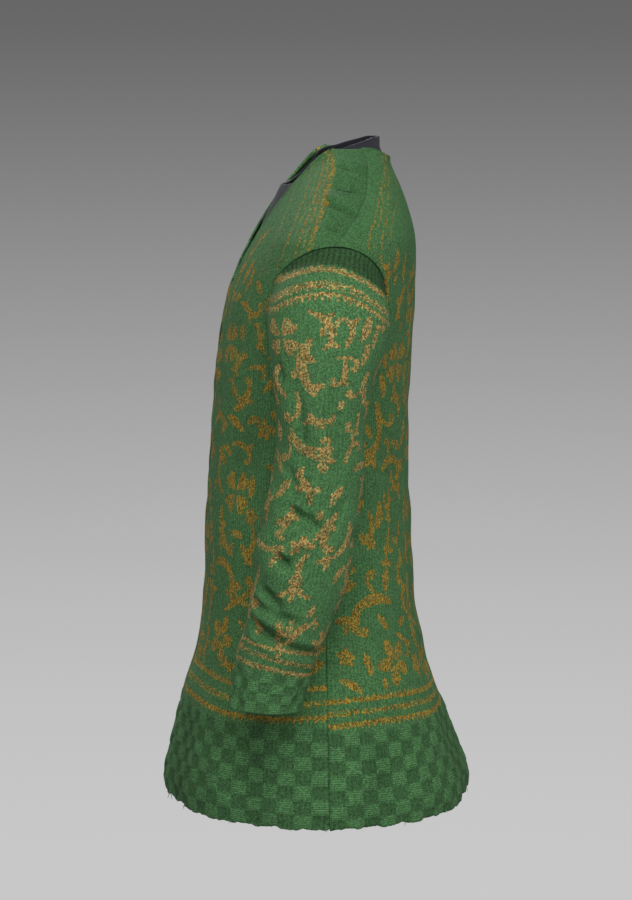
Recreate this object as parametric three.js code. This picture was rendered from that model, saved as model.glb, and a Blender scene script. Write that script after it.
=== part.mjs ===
// Knitted jacket with long sleeves, hollow and filled out with no wearer.
// Millimetres, +Z up, the front faces -Y and the wearer's left is +X. The origin is midway between
// the neck ends of the two shoulder seams, where the jacket is held up.
import * as THREE from 'three';

const CLOTH = 2;              // thickness of the knitting
const LINING_CLOTH = 1.4;     // thickness of the woven lining
const SEAM = 0.3;             // space left between two pieces along a seam
const HEM = -668;             // height of the lower edge
const UNDERARM = -225;        // lowest point of the armhole
const SHOULDER_TIP = -92;     // highest point of the armhole
const ARMHOLE_HALF_DEPTH = 60;  // armhole's half width from front to back
const CUFF = -540;            // height of the sleeve's lower end
const LINING_DEPTH = 4;       // lining's outer face below the jacket's outer face
const BODY_RADIUS = 150;      // turns an angle round the body into a distance
const SLEEVE_RADIUS = 45;     // turns an angle round the sleeve into a distance
const FRONT_STRIPS = 8;       // facets across one front
const BACK_STRIPS = 16;       // facets across the back
const ARMHOLE_STEPS = 10;     // facets along half an armhole

const table = (columns, rows) =>
  rows.map((row) => Object.fromEntries(columns.map((name, k) => [name, row[k]])));

// One row for each level of the body: how far the cloth stands forward and back of the middle,
// its half width, and how square the level is (2 is an ellipse).
const BODY = table(['height', 'front', 'back', 'half', 'square'], [
  [HEM, -182, 130, 202, 2.06],
  [-652, -184, 132, 202, 2.08],
  [-628, -179, 123, 198, 2.12],
  [-594, -171, 110, 192, 2.16],
  [-555, -162, 96, 185, 2.20],
  [-514, -150, 83, 178, 2.25],
  [-450, -143, 74, 171, 2.25],
  [-387, -141, 70, 168, 2.25],
  [-325, -137, 67, 166, 2.25],
  [-262, -133, 67, 166, 2.25],
  [UNDERARM, -130, 69, 168, 2.25],
  [-181, -124, 72, 177, 2.25],
  [-147, -116, 73, 187, 2.25],
  [-118, -105, 74, 197, 2.25],
  [-105, -98, 74, 201, 2.24],
  [SHOULDER_TIP, -91, 73, 200, 2.23],
  [-80, -84, 71, 189, 2.22],
  [-61, -72, 66, 163, 2.20],
  [-41, -59, 59, 133, 2.20],
  [-23, -46, 51, 106, 2.20],
  [-8, -38, 45, 84, 2.20],
  [0, -34, 42, 72, 2.20],
]);

// The side line of the body, from hem to neck: the line of its greatest width.
const SIDE = table(['height', 'depth'], [[HEM, -24], [UNDERARM, -28], [SHOULDER_TIP, -19], [0, -2]]);

// The shoulder seam starts on the side line at the armhole and runs back of it toward the neck.
const SHOULDER_SEAM = table(['height', 'back'], [
  [SHOULDER_TIP, 0], [-80, 8], [-62, 20], [-40, 27], [-20, 26], [0, 18],
]);

// Half the width of the open neck at each level: the two fronts meet below the lowest row.
const NECK = table(['height', 'half'], [
  [-181, 0], [-151, 10], [-122, 21], [-104, 29], [-86, 37], [-65, 45],
  [-45, 53], [-27, 60], [-18, 64], [-9, 68], [0, 72],
]);
const NECK_BACK_DROP = 12;    // centre back of the neck below its sides
const FRONT_TOP = -1.5;       // highest level of a front, beside the shoulder seam

// One row for each level of the left sleeve: its mean height, the x and height of its inner and
// outer lines, where its middle lies front to back, its half width, and how far it leans forward.
const SLEEVE = table(['at', 'xIn', 'zIn', 'xOut', 'zOut', 'mid', 'half', 'lean'], [
  [-173, 169, -229, 234, -117, -25, 59, 0],
  [-189, 170, -233, 252, -145, -27, 56, 0],
  [-207, 171, -238, 260, -176, -29, 52, 0],
  [-224, 172, -243, 261, -205, -31, 48, 0],
  [-244, 172, -252, 259, -236, -33, 45, 1],
  [-271, 172, -275, 257, -268, -34, 43, 3],
  [-302, 172, -305, 256, -300, -35, 44, 6],
  [-338, 174, -340, 257, -336, -41, 45, 8],
  [-377, 175, -378, 260, -375, -48, 48, 9],
  [-414, 177, -415, 259, -413, -54, 45, 12],
  [-440, 179, -440, 257, -440, -61, 42, 15],
  [-468, 182, -468, 255, -468, -70, 39, 16],
  [-490, 184, -490, 254, -490, -77, 38, 15],
  [-505, 184, -505, 253, -505, -81, 37, 12],
  [-522, 184, -522, 253, -522, -85, 36.5, 8],
  [CUFF, 184, CUFF, 254, CUFF, -88, 36, 3],
]);
const SLEEVE_START = (UNDERARM + SHOULDER_TIP) / 2;
const SLEEVE_SQUARE = 2.15;
const SLEEVE_LEVELS = [
  -173, -181, -189, -198, -210, -226, -248, -271, -290, -308, -325, -340, -353, -365, -378, -391,
  -404, -417, -430, -441, -450, -459, -468, -478, -490, -508, CUFF,
];

const BODY_LEVELS = [
  HEM, -645, -617, -588, -556, -520, -480, -440, -400, -360, -322, -288, -260, -241,
];
const SHOULDER_LEVELS = [-82, -69, -56, -43, -31, -20, -10, FRONT_TOP];

// Soft troughs (depth above 0) and ridges (below 0), each laid from one point to another on the
// body or the sleeve. Angles are in degrees: on the body from the centre front toward the left
// side, on the sleeve from its outer line toward the front.
const FOLD_COLUMNS = ['height0', 'angle0', 'height1', 'angle1', 'reach', 'depth'];
const BODY_FOLDS = table(FOLD_COLUMNS, [
  [-560, 22, -690, 18, 24, 3.0],
  [-570, 58, -690, 66, 22, 3.4],
  [-575, 112, -690, 108, 22, 3.2],
  [-565, 160, -690, 165, 26, 3.0],
  [-560, -30, -690, -24, 24, 3.2],
  [-575, -72, -690, -64, 22, 3.0],
  [-570, -120, -690, -118, 24, 3.4],
  [-560, -152, -690, -150, 24, 2.6],
  [-262, 58, -330, 38, 24, 2.4],
  [-266, -56, -335, -40, 24, 2.2],
  [-262, 122, -330, 142, 24, 2.2],
  [-266, -124, -325, -140, 24, 2.4],
  [-455, 150, -470, -155, 22, 2.2],
  [-405, -145, -412, 160, 20, 1.6],
]);
const SLEEVE_FOLDS = table(FOLD_COLUMNS, [
  [-232, 34, -312, 12, 11, 2.4],
  [-246, -2, -318, -20, 11, 2.0],
  [-238, -150, -330, -166, 12, 2.2],
  [-334, 30, -376, -34, 11, 3.6],
  [-352, 62, -392, 120, 12, 3.0],
  [-360, -120, -372, -60, 11, 2.6],
  [-396, 40, -408, -40, 11, -2.0],
  [-426, 92, -458, 0, 11, 4.0],
  [-452, 70, -484, -40, 10, 3.0],
  [-446, 150, -474, 220, 11, 3.2],
  [-415, 200, -432, 270, 11, 2.8],
]);

// Lining: height of its upper and lower edges round the neck, as far as it can be seen and a
// little under the jacket.
const LINING = table(['angle', 'top', 'low'], [
  [0, -41, -204], [8, -40, -172], [16, -36.5, -128], [25, -30, -98], [36, -21.5, -78],
  [50, -12.5, -62], [65, -6.5, -54], [80, -3, -50], [95, -1, -48], [110, 2.5, -47],
  [128, 6, -47], [146, 9, -49], [164, 9.5, -52], [180, 9.5, -52],
]);
const LINING_ROWS = [0, 0.1, 0.25, 0.45, 0.72, 1];
const LINING_RING = { halfWidth: 64, halfDepth: 46, middle: -8, blend: 16, from: 40, full: 90 };
const LINING_SWELL = table(['height', 'swell'], [
  [-205, 0], [-181, 0.5], [-130, 2.5], [-100, 4], [-70, 6], [-38, 11], [-20, 9],
]);

const rad = THREE.MathUtils.degToRad;
const vec = (x, y, z) => new THREE.Vector3(x, y, z);
const levels = (first, last, steps) =>
  Array.from({ length: steps + 1 }, (_, k) => first + ((last - first) * k) / steps);

/** A smooth curve through the points, with no overshoot, as a function. */
function curve(x, y) {
  const step = x.slice(1).map((v, k) => v - x[k]);
  const rise = step.map((h, k) => (y[k + 1] - y[k]) / h);
  const slope = x.map((_, k) => {
    if (k === 0 || k === x.length - 1) return rise[Math.min(k, rise.length - 1)];
    if (rise[k - 1] * rise[k] <= 0) return 0;
    const a = 2 * step[k] + step[k - 1];
    const b = step[k] + 2 * step[k - 1];
    return (a + b) / (a / rise[k - 1] + b / rise[k]);
  });
  return (at) => {
    const v = THREE.MathUtils.clamp(at, x[0], x[x.length - 1]);
    let k = 0;
    while (k < step.length - 1 && v > x[k + 1]) k += 1;
    const t = (v - x[k]) / step[k];
    const u = 1 - t;
    return y[k] * (1 + 2 * t) * u * u + y[k + 1] * t * t * (3 - 2 * t)
      + step[k] * (slope[k] * t * u * u - slope[k + 1] * t * t * u);
  };
}

/** One column of a table as a smooth function of another. */
function column(rows, from, to) {
  const sorted = [...rows].sort((a, b) => a[from] - b[from]);
  return curve(sorted.map((row) => row[from]), sorted.map((row) => row[to]));
}

const bodyFront = column(BODY, 'height', 'front');
const bodyBack = column(BODY, 'height', 'back');
const bodyHalf = column(BODY, 'height', 'half');
const bodySquare = column(BODY, 'height', 'square');
const side = column(SIDE, 'height', 'depth');
const shoulderSeam = column(SHOULDER_SEAM, 'height', 'back');
const neckHalf = column(NECK, 'height', 'half');
const liningTop = column(LINING, 'angle', 'top');
const liningLow = column(LINING, 'angle', 'low');
const liningSwell = column(LINING_SWELL, 'height', 'swell');

/** How far the folds push the cloth outward at one place. */
function folded(folds, radius, height, degrees) {
  let push = 0;
  for (const fold of folds) {
    const turn = (angle) => {
      const a = (angle - fold.angle0) % 360;
      return rad(a > 180 ? a - 360 : a < -180 ? a + 360 : a) * radius;
    };
    const endX = rad(fold.angle1 - fold.angle0) * radius;
    const along = vec(Math.abs(endX) > Math.PI * radius ? turn(fold.angle1) : endX,
      fold.height1 - fold.height0, 0);
    const here = vec(turn(degrees), height - fold.height0, 0);
    const length = along.length();
    const t = here.dot(along) / length / length;
    const across = here.clone().addScaledVector(along, -THREE.MathUtils.clamp(t, 0, 1)).length();
    const fade = THREE.MathUtils.smoothstep(t, -0.25, 0.3) * THREE.MathUtils.smoothstep(1 - t, -0.25, 0.3);
    const trough = Math.exp(-((across / fold.reach) ** 2));
    const lip = Math.exp(-(((across - 1.9 * fold.reach) / fold.reach) ** 2));
    push -= fold.depth * fade * (trough - 0.4 * lip);
  }
  return push;
}

/** The body's smooth form: a squared ellipse at each level, deeper in front than behind. */
function form(angle, height) {
  const power = bodySquare(height);
  const s = Math.sin(angle);
  const c = Math.cos(angle);
  const k = (Math.abs(s) ** power + Math.abs(c) ** power) ** (-1 / power);
  const depth = c >= 0 ? side(height) - bodyFront(height) : bodyBack(height) - side(height);
  return vec(bodyHalf(height) * s * k, side(height) - c * k * depth, height);
}

/** Square to a surface of an angle and a height. */
function square(surface, angle, height) {
  const across = surface(angle + 1e-3, height).sub(surface(angle - 1e-3, height));
  const up = surface(angle, height + 0.05).sub(surface(angle, height - 0.05));
  return across.cross(up).normalize();
}

/** The body's outer face, folds and all. */
function skin(angle, height) {
  const push = folded(BODY_FOLDS, BODY_RADIUS, height, THREE.MathUtils.radToDeg(angle));
  return form(angle, height).addScaledVector(square(form, angle, height), push);
}

/** The angle at which the front half of a level reaches a given x. */
function angleAtX(x, height) {
  const power = bodySquare(height);
  const u = Math.min(1, x / bodyHalf(height));
  return Math.atan2(u, (1 - u ** power) ** (1 / power));
}

/** The angle on the left side at which a level reaches a given distance in front of its side line. */
function angleAtDepth(ahead, height) {
  const power = bodySquare(height);
  const depth = ahead > 0 ? side(height) - bodyFront(height) : bodyBack(height) - side(height);
  const v = Math.abs(ahead) / depth;
  return Math.atan2((1 - v ** power) ** (1 / power), Math.sign(ahead) * v);
}

/** A point on the left armhole: 0 is the shoulder tip, 90 the front, 180 the underarm. */
function armhole(degrees) {
  const a = rad(degrees);
  const height = SLEEVE_START + ((SHOULDER_TIP - UNDERARM) / 2) * Math.cos(a);
  const ahead = ARMHOLE_HALF_DEPTH * Math.sin(a) * (1 + 0.05 * Math.cos(a));
  const angle = angleAtDepth(ahead, height);
  return { height, angle, point: skin(angle, height), out: square(skin, angle, height) };
}

/** Levels of the body from hem to shoulder, with the armhole's own levels in between. */
function bodyRows(top) {
  const round = levels(180, 0, ARMHOLE_STEPS);
  return [
    ...BODY_LEVELS.map((height) => ({ height })),
    ...round.map((degrees) => ({ height: armhole(degrees).height, armhole: degrees })),
    ...SHOULDER_LEVELS.slice(0, -1).map((height) => ({ height })),
    { height: top },
  ];
}

/** Where a panel's edge runs on one level: the side or shoulder seam, or the armhole. */
function outerEdge(row, isFront) {
  const onArmhole = row.armhole > 0 && row.armhole < 180;
  if (onArmhole) return armhole(isFront ? row.armhole : 360 - row.armhole).angle;
  const seam = row.height > SHOULDER_TIP ? -shoulderSeam(row.height) : 0;
  return angleAtDepth(seam + (isFront ? SEAM / 2 : -SEAM / 2), row.height);
}

/** A panel's two faces as grids of points, from a function giving the angle and height. */
function panel(rows, strips, place) {
  const outer = [];
  const inner = [];
  for (const row of rows) {
    const spots = levels(0, 1, strips).map((across) => place(row, across));
    outer.push(spots.map(([angle, height]) => skin(angle, height)));
    inner.push(spots.map(([angle, height]) =>
      skin(angle, height).addScaledVector(square(skin, angle, height), -CLOTH)));
  }
  return [outer, inner];
}

/** The left front when which is 1, the right front when it is -1. */
function front(which) {
  return panel(bodyRows(FRONT_TOP), FRONT_STRIPS, (row, across) => {
    const first = angleAtX(neckHalf(row.height) + SEAM / 2, row.height);
    const t = which > 0 ? across : 1 - across;
    return [which * (first + (outerEdge(row, true) - first) * t), row.height];
  });
}

/** The back, whose upper levels dip toward the middle of the neck. */
function back() {
  return panel(bodyRows(0), BACK_STRIPS, (row, across) => {
    const first = outerEdge(row, false);
    const angle = first + (2 * Math.PI - 2 * first) * across;
    const towardMiddle = (Math.cos(first) - Math.cos(angle)) / (1 + Math.cos(first));
    const dip = THREE.MathUtils.smoothstep(row.height, SHOULDER_TIP, 0) * Math.abs(towardMiddle) ** 1.5;
    return [angle, row.height - NECK_BACK_DROP * dip];
  });
}

/** Square to a grid of points, each the cross of its neighbours' differences. */
function squareToGrid(grid, wrap) {
  const last = grid[0].length - 1;
  return grid.map((row, i) => row.map((_, j) => {
    const left = wrap && j === 0 ? last : Math.max(0, j - 1);
    const right = wrap && j === last ? 0 : Math.min(last, j + 1);
    const down = grid[Math.min(grid.length - 1, i + 1)][j].clone()
      .sub(grid[Math.max(0, i - 1)][j]);
    return grid[i][right].clone().sub(grid[i][left]).cross(down).normalize();
  }));
}

const shifted = (grid, normals, distance) =>
  grid.map((row, i) => row.map((point, j) => point.clone().addScaledVector(normals[i][j], distance)));

/** The left sleeve: rings lofted from the armhole through the levels of its table to the cuff. */
function sleeve(folds) {
  const middle = form(Math.PI / 2, SLEEVE_START);
  const columns = levels(0, 360, 2 * ARMHOLE_STEPS).slice(0, -1).map((degrees) => {
    const { point, out } = armhole(degrees);
    const inward = middle.clone().sub(point);
    inward.addScaledVector(out, -inward.dot(out)).normalize();
    const start = point.clone().addScaledVector(inward, SEAM);
    const rolled = start.clone().addScaledVector(out, 1);
    const round = (v) => Math.sign(v) * Math.abs(v) ** (2 / SLEEVE_SQUARE);
    const c = round(Math.cos(rad(degrees)));
    const s = round(Math.sin(rad(degrees)));
    const line = SLEEVE.map((row) => {
      const lean = rad(row.lean);
      return vec((row.xIn + row.xOut) / 2 + ((row.xOut - row.xIn) / 2) * c,
        row.mid - row.half * Math.cos(lean) * s,
        (row.zIn + row.zOut) / 2 + ((row.zOut - row.zIn) / 2) * c + row.half * Math.sin(lean) * s);
    });
    const at = [SLEEVE_START, ...SLEEVE.map((row) => row.at)].map((v) => -v);
    const [x, y, z] = ['x', 'y', 'z'].map((k) => curve(at, [rolled, ...line].map((p) => p[k])));
    const lofted = SLEEVE_LEVELS.map((level) => vec(x(-level), y(-level), z(-level)));
    return [start.clone().addScaledVector(out, -CLOTH), rolled, ...lofted];
  });
  const smooth = columns[0].map((_, i) => columns.map((line) => line[i]));
  const normals = squareToGrid(smooth, true);
  const heights = [SLEEVE_START, SLEEVE_START, ...SLEEVE_LEVELS];
  const outer = smooth.map((ring, i) => ring.map((point, j) => point.clone().addScaledVector(
    normals[i][j],
    i < 2 ? 0 : folded(folds, SLEEVE_RADIUS, heights[i], (360 * j) / ring.length))));
  return [outer, shifted(outer, squareToGrid(outer, true), -CLOTH)];
}

/** The neck's lining: it fills the open fronts and runs round inside the neck, where its upper
 * edge leaves the jacket and stands up behind the sides. */
function lining() {
  const angles = LINING.map((row) => row.angle);
  const round = [...angles, ...angles.slice(1, -1).reverse().map((angle) => -angle)];
  const outer = LINING_ROWS.map((part) => round.map((degrees) => {
    const a = rad(degrees);
    const top = liningTop(Math.abs(degrees));
    const height = top + (liningLow(Math.abs(degrees)) - top) * part;
    const under = form(a, height);
    const open = Math.min(1, Math.abs(under.x) / Math.max(1, neckHalf(height)));
    const swell = degrees > -40 && degrees < 40 ? liningSwell(height) * (1 - open ** 2) ** 2 : 0;
    under.addScaledVector(square(form, a, height), swell - LINING_DEPTH);
    const c = Math.cos(a);
    const forward = LINING_RING.halfDepth * c;
    const ring = vec(LINING_RING.halfWidth * Math.sin(a), LINING_RING.middle - forward, height);
    const behind = THREE.MathUtils.smoothstep(Math.abs(degrees), LINING_RING.from, LINING_RING.full);
    const above = 1 - THREE.MathUtils.smoothstep(top - height, 0, LINING_RING.blend);
    return under.lerp(ring, behind * above);
  }));
  return [outer, shifted(outer, squareToGrid(outer, true), LINING_CLOTH)];
}

const mirrored = (grids) => grids.map((grid) => grid.map((row) => row.map((p) => vec(-p.x, p.y, p.z))));

/** Closes a cloth from the grids of its two faces, and turns its faces outward. */
function closed([outer, inner], wrap) {
  const rows = outer.length;
  const strips = outer[0].length;
  const out = (i, j) => i * strips + (j % strips);
  const into = (i, j) => rows * strips + out(i, j);
  const quads = [];
  const last = rows - 1;
  const end = strips - 1;
  for (let j = 0; j < (wrap ? strips : end); j += 1) {
    for (let i = 0; i < last; i += 1) {
      quads.push([out(i, j), out(i, j + 1), out(i + 1, j + 1), out(i + 1, j)]);
      quads.push([into(i, j), into(i + 1, j), into(i + 1, j + 1), into(i, j + 1)]);
    }
    quads.push([into(0, j), into(0, j + 1), out(0, j + 1), out(0, j)]);
    quads.push([out(last, j), out(last, j + 1), into(last, j + 1), into(last, j)]);
  }
  for (let i = 0; i < last && !wrap; i += 1) {
    quads.push([out(i, 0), out(i + 1, 0), into(i + 1, 0), into(i, 0)]);
    quads.push([out(i, end), into(i, end), into(i + 1, end), out(i + 1, end)]);
  }
  const points = [...outer.flat(), ...inner.flat()];
  const faces = quads.flatMap(([a, b, c, d]) => [[a, b, c], [a, c, d]]);
  const volume = faces.reduce((sum, [a, b, c]) =>
    sum + points[a].dot(points[b].clone().cross(points[c])), 0);
  const geometry = new THREE.BufferGeometry().setFromPoints(points);
  geometry.setIndex(faces.flatMap(([a, b, c]) => (volume > 0 ? [a, b, c] : [a, c, b])));
  geometry.computeVertexNormals();
  return geometry;
}

const jacket = new THREE.Group();
jacket.name = 'knitted_jacket';

function add(name, grids, wrap, color) {
  const material = new THREE.MeshStandardMaterial({ color, roughness: 0.9, metalness: 0 });
  const mesh = new THREE.Mesh(closed(grids, wrap), material);
  mesh.name = name;
  jacket.add(mesh);
}

add('front_left', front(1), false, 0x4b6c46);
add('front_right', front(-1), false, 0x4b6c46);
add('back', back(), false, 0x456441);
add('sleeve_left', sleeve(SLEEVE_FOLDS), true, 0x54704e);
add('sleeve_right', mirrored(sleeve(SLEEVE_FOLDS)), true, 0x54704e);
add('neck_lining', lining(), true, 0x303034);

export default jacket;
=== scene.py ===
"""Knitted jacket with long sleeves, hollow and filled out with no wearer: a thin shell for each piece."""
import math

import bpy
import numpy as np
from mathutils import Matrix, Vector


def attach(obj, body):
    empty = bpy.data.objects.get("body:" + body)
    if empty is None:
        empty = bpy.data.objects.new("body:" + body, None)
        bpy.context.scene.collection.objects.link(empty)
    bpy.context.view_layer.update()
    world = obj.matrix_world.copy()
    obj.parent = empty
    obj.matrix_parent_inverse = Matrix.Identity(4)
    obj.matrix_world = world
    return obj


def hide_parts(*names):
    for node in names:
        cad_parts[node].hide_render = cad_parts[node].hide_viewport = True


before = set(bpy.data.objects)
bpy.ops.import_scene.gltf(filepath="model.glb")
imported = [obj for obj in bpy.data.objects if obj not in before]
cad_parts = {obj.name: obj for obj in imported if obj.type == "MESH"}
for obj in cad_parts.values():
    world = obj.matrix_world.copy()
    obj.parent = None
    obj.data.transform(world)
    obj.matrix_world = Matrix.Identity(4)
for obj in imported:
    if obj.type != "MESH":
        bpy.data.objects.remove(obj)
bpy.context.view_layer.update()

bl_info = {
    "name": "Knitted Jacket",
    "version": (1, 0, 0),
    "blender": (4, 5, 0),
    "location": "3D View > Sidebar > Jacket",
    "description": "Builds a two-colour knitted jacket around its packed frame",
    "category": "Object",
}

# Lengths are millimetres until a mesh is made. +Z is up, the front faces -Y, the wearer's left is +X.
MM = 0.001
SEAM = 0.04
HEM = -668.0
UNDERARM = -225.0
SHOULDER_TIP = -92.0
CUFF = -540.0
SLEEVE_START = (UNDERARM + SHOULDER_TIP) / 2
ARMHOLE_HALF_HEIGHT = (SHOULDER_TIP - UNDERARM) / 2
ARMHOLE_HALF_DEPTH = 60.0
SLEEVE_SQUARE = 2.15
BODY_RADIUS = 150.0
SHOULDER_RADIUS = 85.0
SLEEVE_RADIUS = 45.0
NECK_BACK_DROP = 12.0
NECK_LIP = 1.8
BACK_NECK_LIP = 2.2
HEM_LIP = 0.3
SEAM_DIP = -0.4
FRONT_TOP = -1.5
SLEEVE_MM_PER_DEGREE = 0.72
LINING_MM_PER_DEGREE = 1.05
RIBBED_HALF = 66.0
RIBBED_LOW = -109.0
RIB_WIDTH = 4.4
RIB_HEIGHT = 0.45
CUFF_ROUND = 223.0
CUFF_BASKET_TOP = -502.0
CUFF_SQUARE_HEIGHT = 9.5
# Width of a cuff's square against one of the hem's.
CUFF_SQUARE = 0.62
BAND_TEETH = 7.4
# How deep a trough is at its full painted shade.
BODY_FOLD_DEEP = 5.5
SLEEVE_FOLD_DEEP = 8.0
# Distances to the ornament are found up to this one, which also stands for no ornament.
FAR = 8.0
BOLDER = 0.95
ORNAMENT_GAP = 3.2
STEM_GAP = 1.7
LOBE_GAP = 0.2
FOLD_STRENGTH = 1.25
PUCKER_STRENGTH = 3.0
# Painted shade: how far the colour darkens at the bottom of a fold's trough.
FOLD_SHADE = 0.8
# Painted shade in the grooves between basket squares.
EDGE_SHADE = 0.7
# Painted highlight on raised basket squares and painted shade on sunk ones.
SUNK_SHADE = 0.32


def table(names, rows):
    """One array for each named column of the rows."""
    return dict(zip(names.split(), np.array(rows, float).T))


BODY = table("height front back half square", [
    (HEM, -182, 130, 202, 2.06), (-652, -184, 132, 202, 2.08), (-628, -179, 123, 198, 2.12),
    (-594, -171, 110, 192, 2.16), (-555, -162, 96, 185, 2.20), (-514, -150, 83, 178, 2.25),
    (-450, -143, 74, 171, 2.25), (-387, -141, 70, 168, 2.25), (-325, -137, 67, 166, 2.25),
    (-262, -133, 67, 166, 2.25), (UNDERARM, -130, 69, 168, 2.25), (-181, -124, 72, 177, 2.25),
    (-147, -116, 73, 187, 2.25), (-118, -105, 74, 197, 2.25), (-105, -98, 74, 201, 2.24),
    (SHOULDER_TIP, -91, 73, 200, 2.23), (-80, -84, 71, 189, 2.22), (-61, -72, 66, 163, 2.20),
    (-41, -59, 59, 133, 2.20), (-23, -46, 51, 106, 2.20), (-8, -38, 45, 84, 2.20), (0, -34, 42, 72, 2.20),
])
SIDE = table("height depth", [(HEM, -24), (UNDERARM, -28), (SHOULDER_TIP, -19), (0, -2)])
SHOULDER_SEAM = table("height back", [(SHOULDER_TIP, 0), (-80, 8), (-62, 20), (-40, 27), (-20, 26), (0, 18)])
NECK = table("height half", [
    (-181, 0), (-151, 10), (-122, 21), (-104, 29), (-86, 37), (-65, 45), (-45, 53), (-27, 60), (-18, 64),
    (-9, 68), (0, 72),
])
SLEEVE = table("at x_in z_in x_out z_out middle half lean", [
    (-173, 169, -229, 234, -117, -25, 59, 0), (-189, 170, -233, 252, -145, -27, 56, 0),
    (-207, 171, -238, 260, -176, -29, 52, 0), (-224, 172, -243, 261, -205, -31, 48, 0),
    (-244, 172, -252, 259, -236, -33, 45, 1), (-271, 172, -275, 257, -268, -34, 43, 3),
    (-302, 172, -305, 256, -300, -35, 44, 6), (-338, 174, -340, 257, -336, -41, 45, 8),
    (-377, 175, -378, 260, -375, -48, 48, 9), (-414, 177, -415, 259, -413, -54, 45, 12),
    (-440, 179, -440, 257, -440, -61, 42, 15), (-468, 182, -468, 255, -468, -70, 39, 16),
    (-490, 184, -490, 254, -490, -77, 38, 15), (-505, 184, -505, 253, -505, -81, 37, 12),
    (-522, 184, -522, 253, -522, -85, 36.5, 8), (CUFF, 184, CUFF, 254, CUFF, -88, 36, 3),
])
LINING = table("angle top low", [
    (0, -41, -204), (8, -40, -172), (16, -36.5, -128), (25, -30, -98), (36, -21.5, -78), (50, -12.5, -62),
    (65, -6.5, -54), (80, -3, -50), (95, -1, -48), (110, 2.5, -47), (128, 6, -47), (146, 9, -49),
    (164, 9.5, -52), (180, 9.5, -52),
])
LINING_SWELL = table("height swell", [
    (-205, 0), (-181, -1), (-130, -2), (-100, 0), (-70, 4), (-38, 8), (-20, 7),
])
LINING_RING = {
    "half_width": 64, "half_depth": 46, "middle": -8, "blend": 16, "depth": 4, "from": 40, "full": 90,
}

# Soft troughs (depth above 0) and ridges (below 0), each laid from one point to another. Angles are
# degrees: on the body from the centre front toward the left side, on the sleeve from its outer line
# toward the front.
FOLD_COLUMNS = "height0 angle0 height1 angle1 reach depth"
BODY_FOLDS = table(FOLD_COLUMNS, [
    (-560, 22, -690, 18, 24, 3.0), (-570, 58, -690, 66, 22, 3.4), (-575, 112, -690, 108, 22, 3.2),
    (-565, 160, -690, 165, 26, 3.0), (-560, -30, -690, -24, 24, 3.2), (-575, -72, -690, -64, 22, 3.0),
    (-570, -120, -690, -118, 24, 3.4), (-560, -152, -690, -150, 24, 2.6), (-262, 58, -330, 38, 24, 2.4),
    (-266, -56, -335, -40, 24, 2.2), (-262, 122, -330, 142, 24, 2.2), (-266, -124, -325, -140, 24, 2.4),
    (-455, 150, -470, -155, 22, 2.2), (-405, -145, -412, 160, 20, 1.6),
])
SHOULDER_PUCKERS = table(FOLD_COLUMNS, [
    (-17, 84, -24, 116, 2.6, 1.5), (-27, 82, -31, 112, 2.4, 1.1), (-36, 80, -41, 108, 2.8, 1.6),
    (-51, 76, -62, 104, 3.2, 2.4), (-64, 82, -68, 100, 2.6, 1.2), (-74, 80, -77, 94, 2.8, 1.2),
    (-19, -86, -23, -112, 2.6, 1.4), (-32, -80, -38, -110, 2.8, 1.7), (-46, -78, -50, -104, 2.6, 1.2),
    (-60, -78, -66, -101, 3.2, 2.2), (-76, -80, -76, -95, 2.8, 1.1),
])
SLEEVE_FOLDS = {
    1: table(FOLD_COLUMNS, [
        (-232, 34, -312, 12, 8, 2.2), (-246, -2, -318, -20, 8, 1.8), (-238, -150, -330, -166, 10, 2.2),
        (-230, -12, -262, -17, 5, 1.4), (-214, 66, -228, 58, 4, 2.6), (-243, 29, -280, 23, 4.5, 1.5),
        (-306, 42, -336, 18, 5, 2.2), (-314, 15, -345, 8, 3.6, 3.0), (-345, 28, -352, 8, 4.2, 5.2),
        (-350, 7, -361, -9, 3.6, 3.4), (-354, 14, -366, 38, 4.4, 2.8), (-330, -37, -376, -13, 5.5, 1.6),
        (-392, 38, -401, 18, 4.6, 4.8), (-398, 23, -378, 4, 4.0, 2.2), (-372, 14, -376, -8, 9, -3.0),
        (-352, 62, -392, 120, 10, 2.6), (-360, -120, -372, -60, 10, 2.4), (-410, 52, -414, 6, 8, -2.6),
        (-429, 54, -441, 12, 5.2, 4.8), (-443, 68, -451, -4, 4.6, 4.2), (-461, 62, -474, 0, 5.0, 5.4),
        (-474, 0, -476, -68, 5.0, 4.2), (-448, 44, -459, -10, 5.5, -2.2), (-446, 150, -474, 220, 9, 3.0),
        (-415, 200, -432, 270, 10, 2.6), (-285, 160, -296, 215, 9, 1.8), (-330, 120, -352, 165, 9, 2.2),
        (-508, -52, -538, -44, 5, 1.6), (-506, 48, -538, 52, 6, 1.8),
    ]),
    -1: table(FOLD_COLUMNS, [
        (-236, 26, -306, 16, 8, 2.1), (-242, -10, -322, -26, 8, 2.0), (-244, -146, -322, -160, 10, 2.0),
        (-226, -18, -258, -10, 5, 1.4), (-218, 62, -232, 66, 4, 2.4), (-300, 38, -334, 22, 5, 2.2),
        (-318, 12, -350, 2, 3.8, 3.0), (-350, 34, -356, 6, 4.4, 5.0), (-356, 4, -368, -14, 3.8, 3.2),
        (-338, -34, -384, -16, 5.5, 1.6), (-396, 44, -404, 20, 4.6, 4.6), (-378, 20, -382, -6, 9, -3.0),
        (-350, 70, -398, 128, 10, 2.8), (-368, -112, -384, -52, 10, 2.6), (-416, 46, -418, 0, 8, -2.4),
        (-433, 60, -444, 18, 5.2, 4.6), (-447, 60, -455, -10, 4.6, 4.0), (-464, 54, -475, -8, 5.0, 5.0),
        (-475, -8, -478, -70, 5.0, 4.0), (-440, 158, -468, 228, 9, 2.8), (-420, 196, -442, 262, 10, 2.6),
        (-290, 150, -300, 210, 9, 1.8), (-334, 126, -350, 170, 9, 2.0), (-508, -46, -538, -40, 5, 1.6),
    ]),
}

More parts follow.
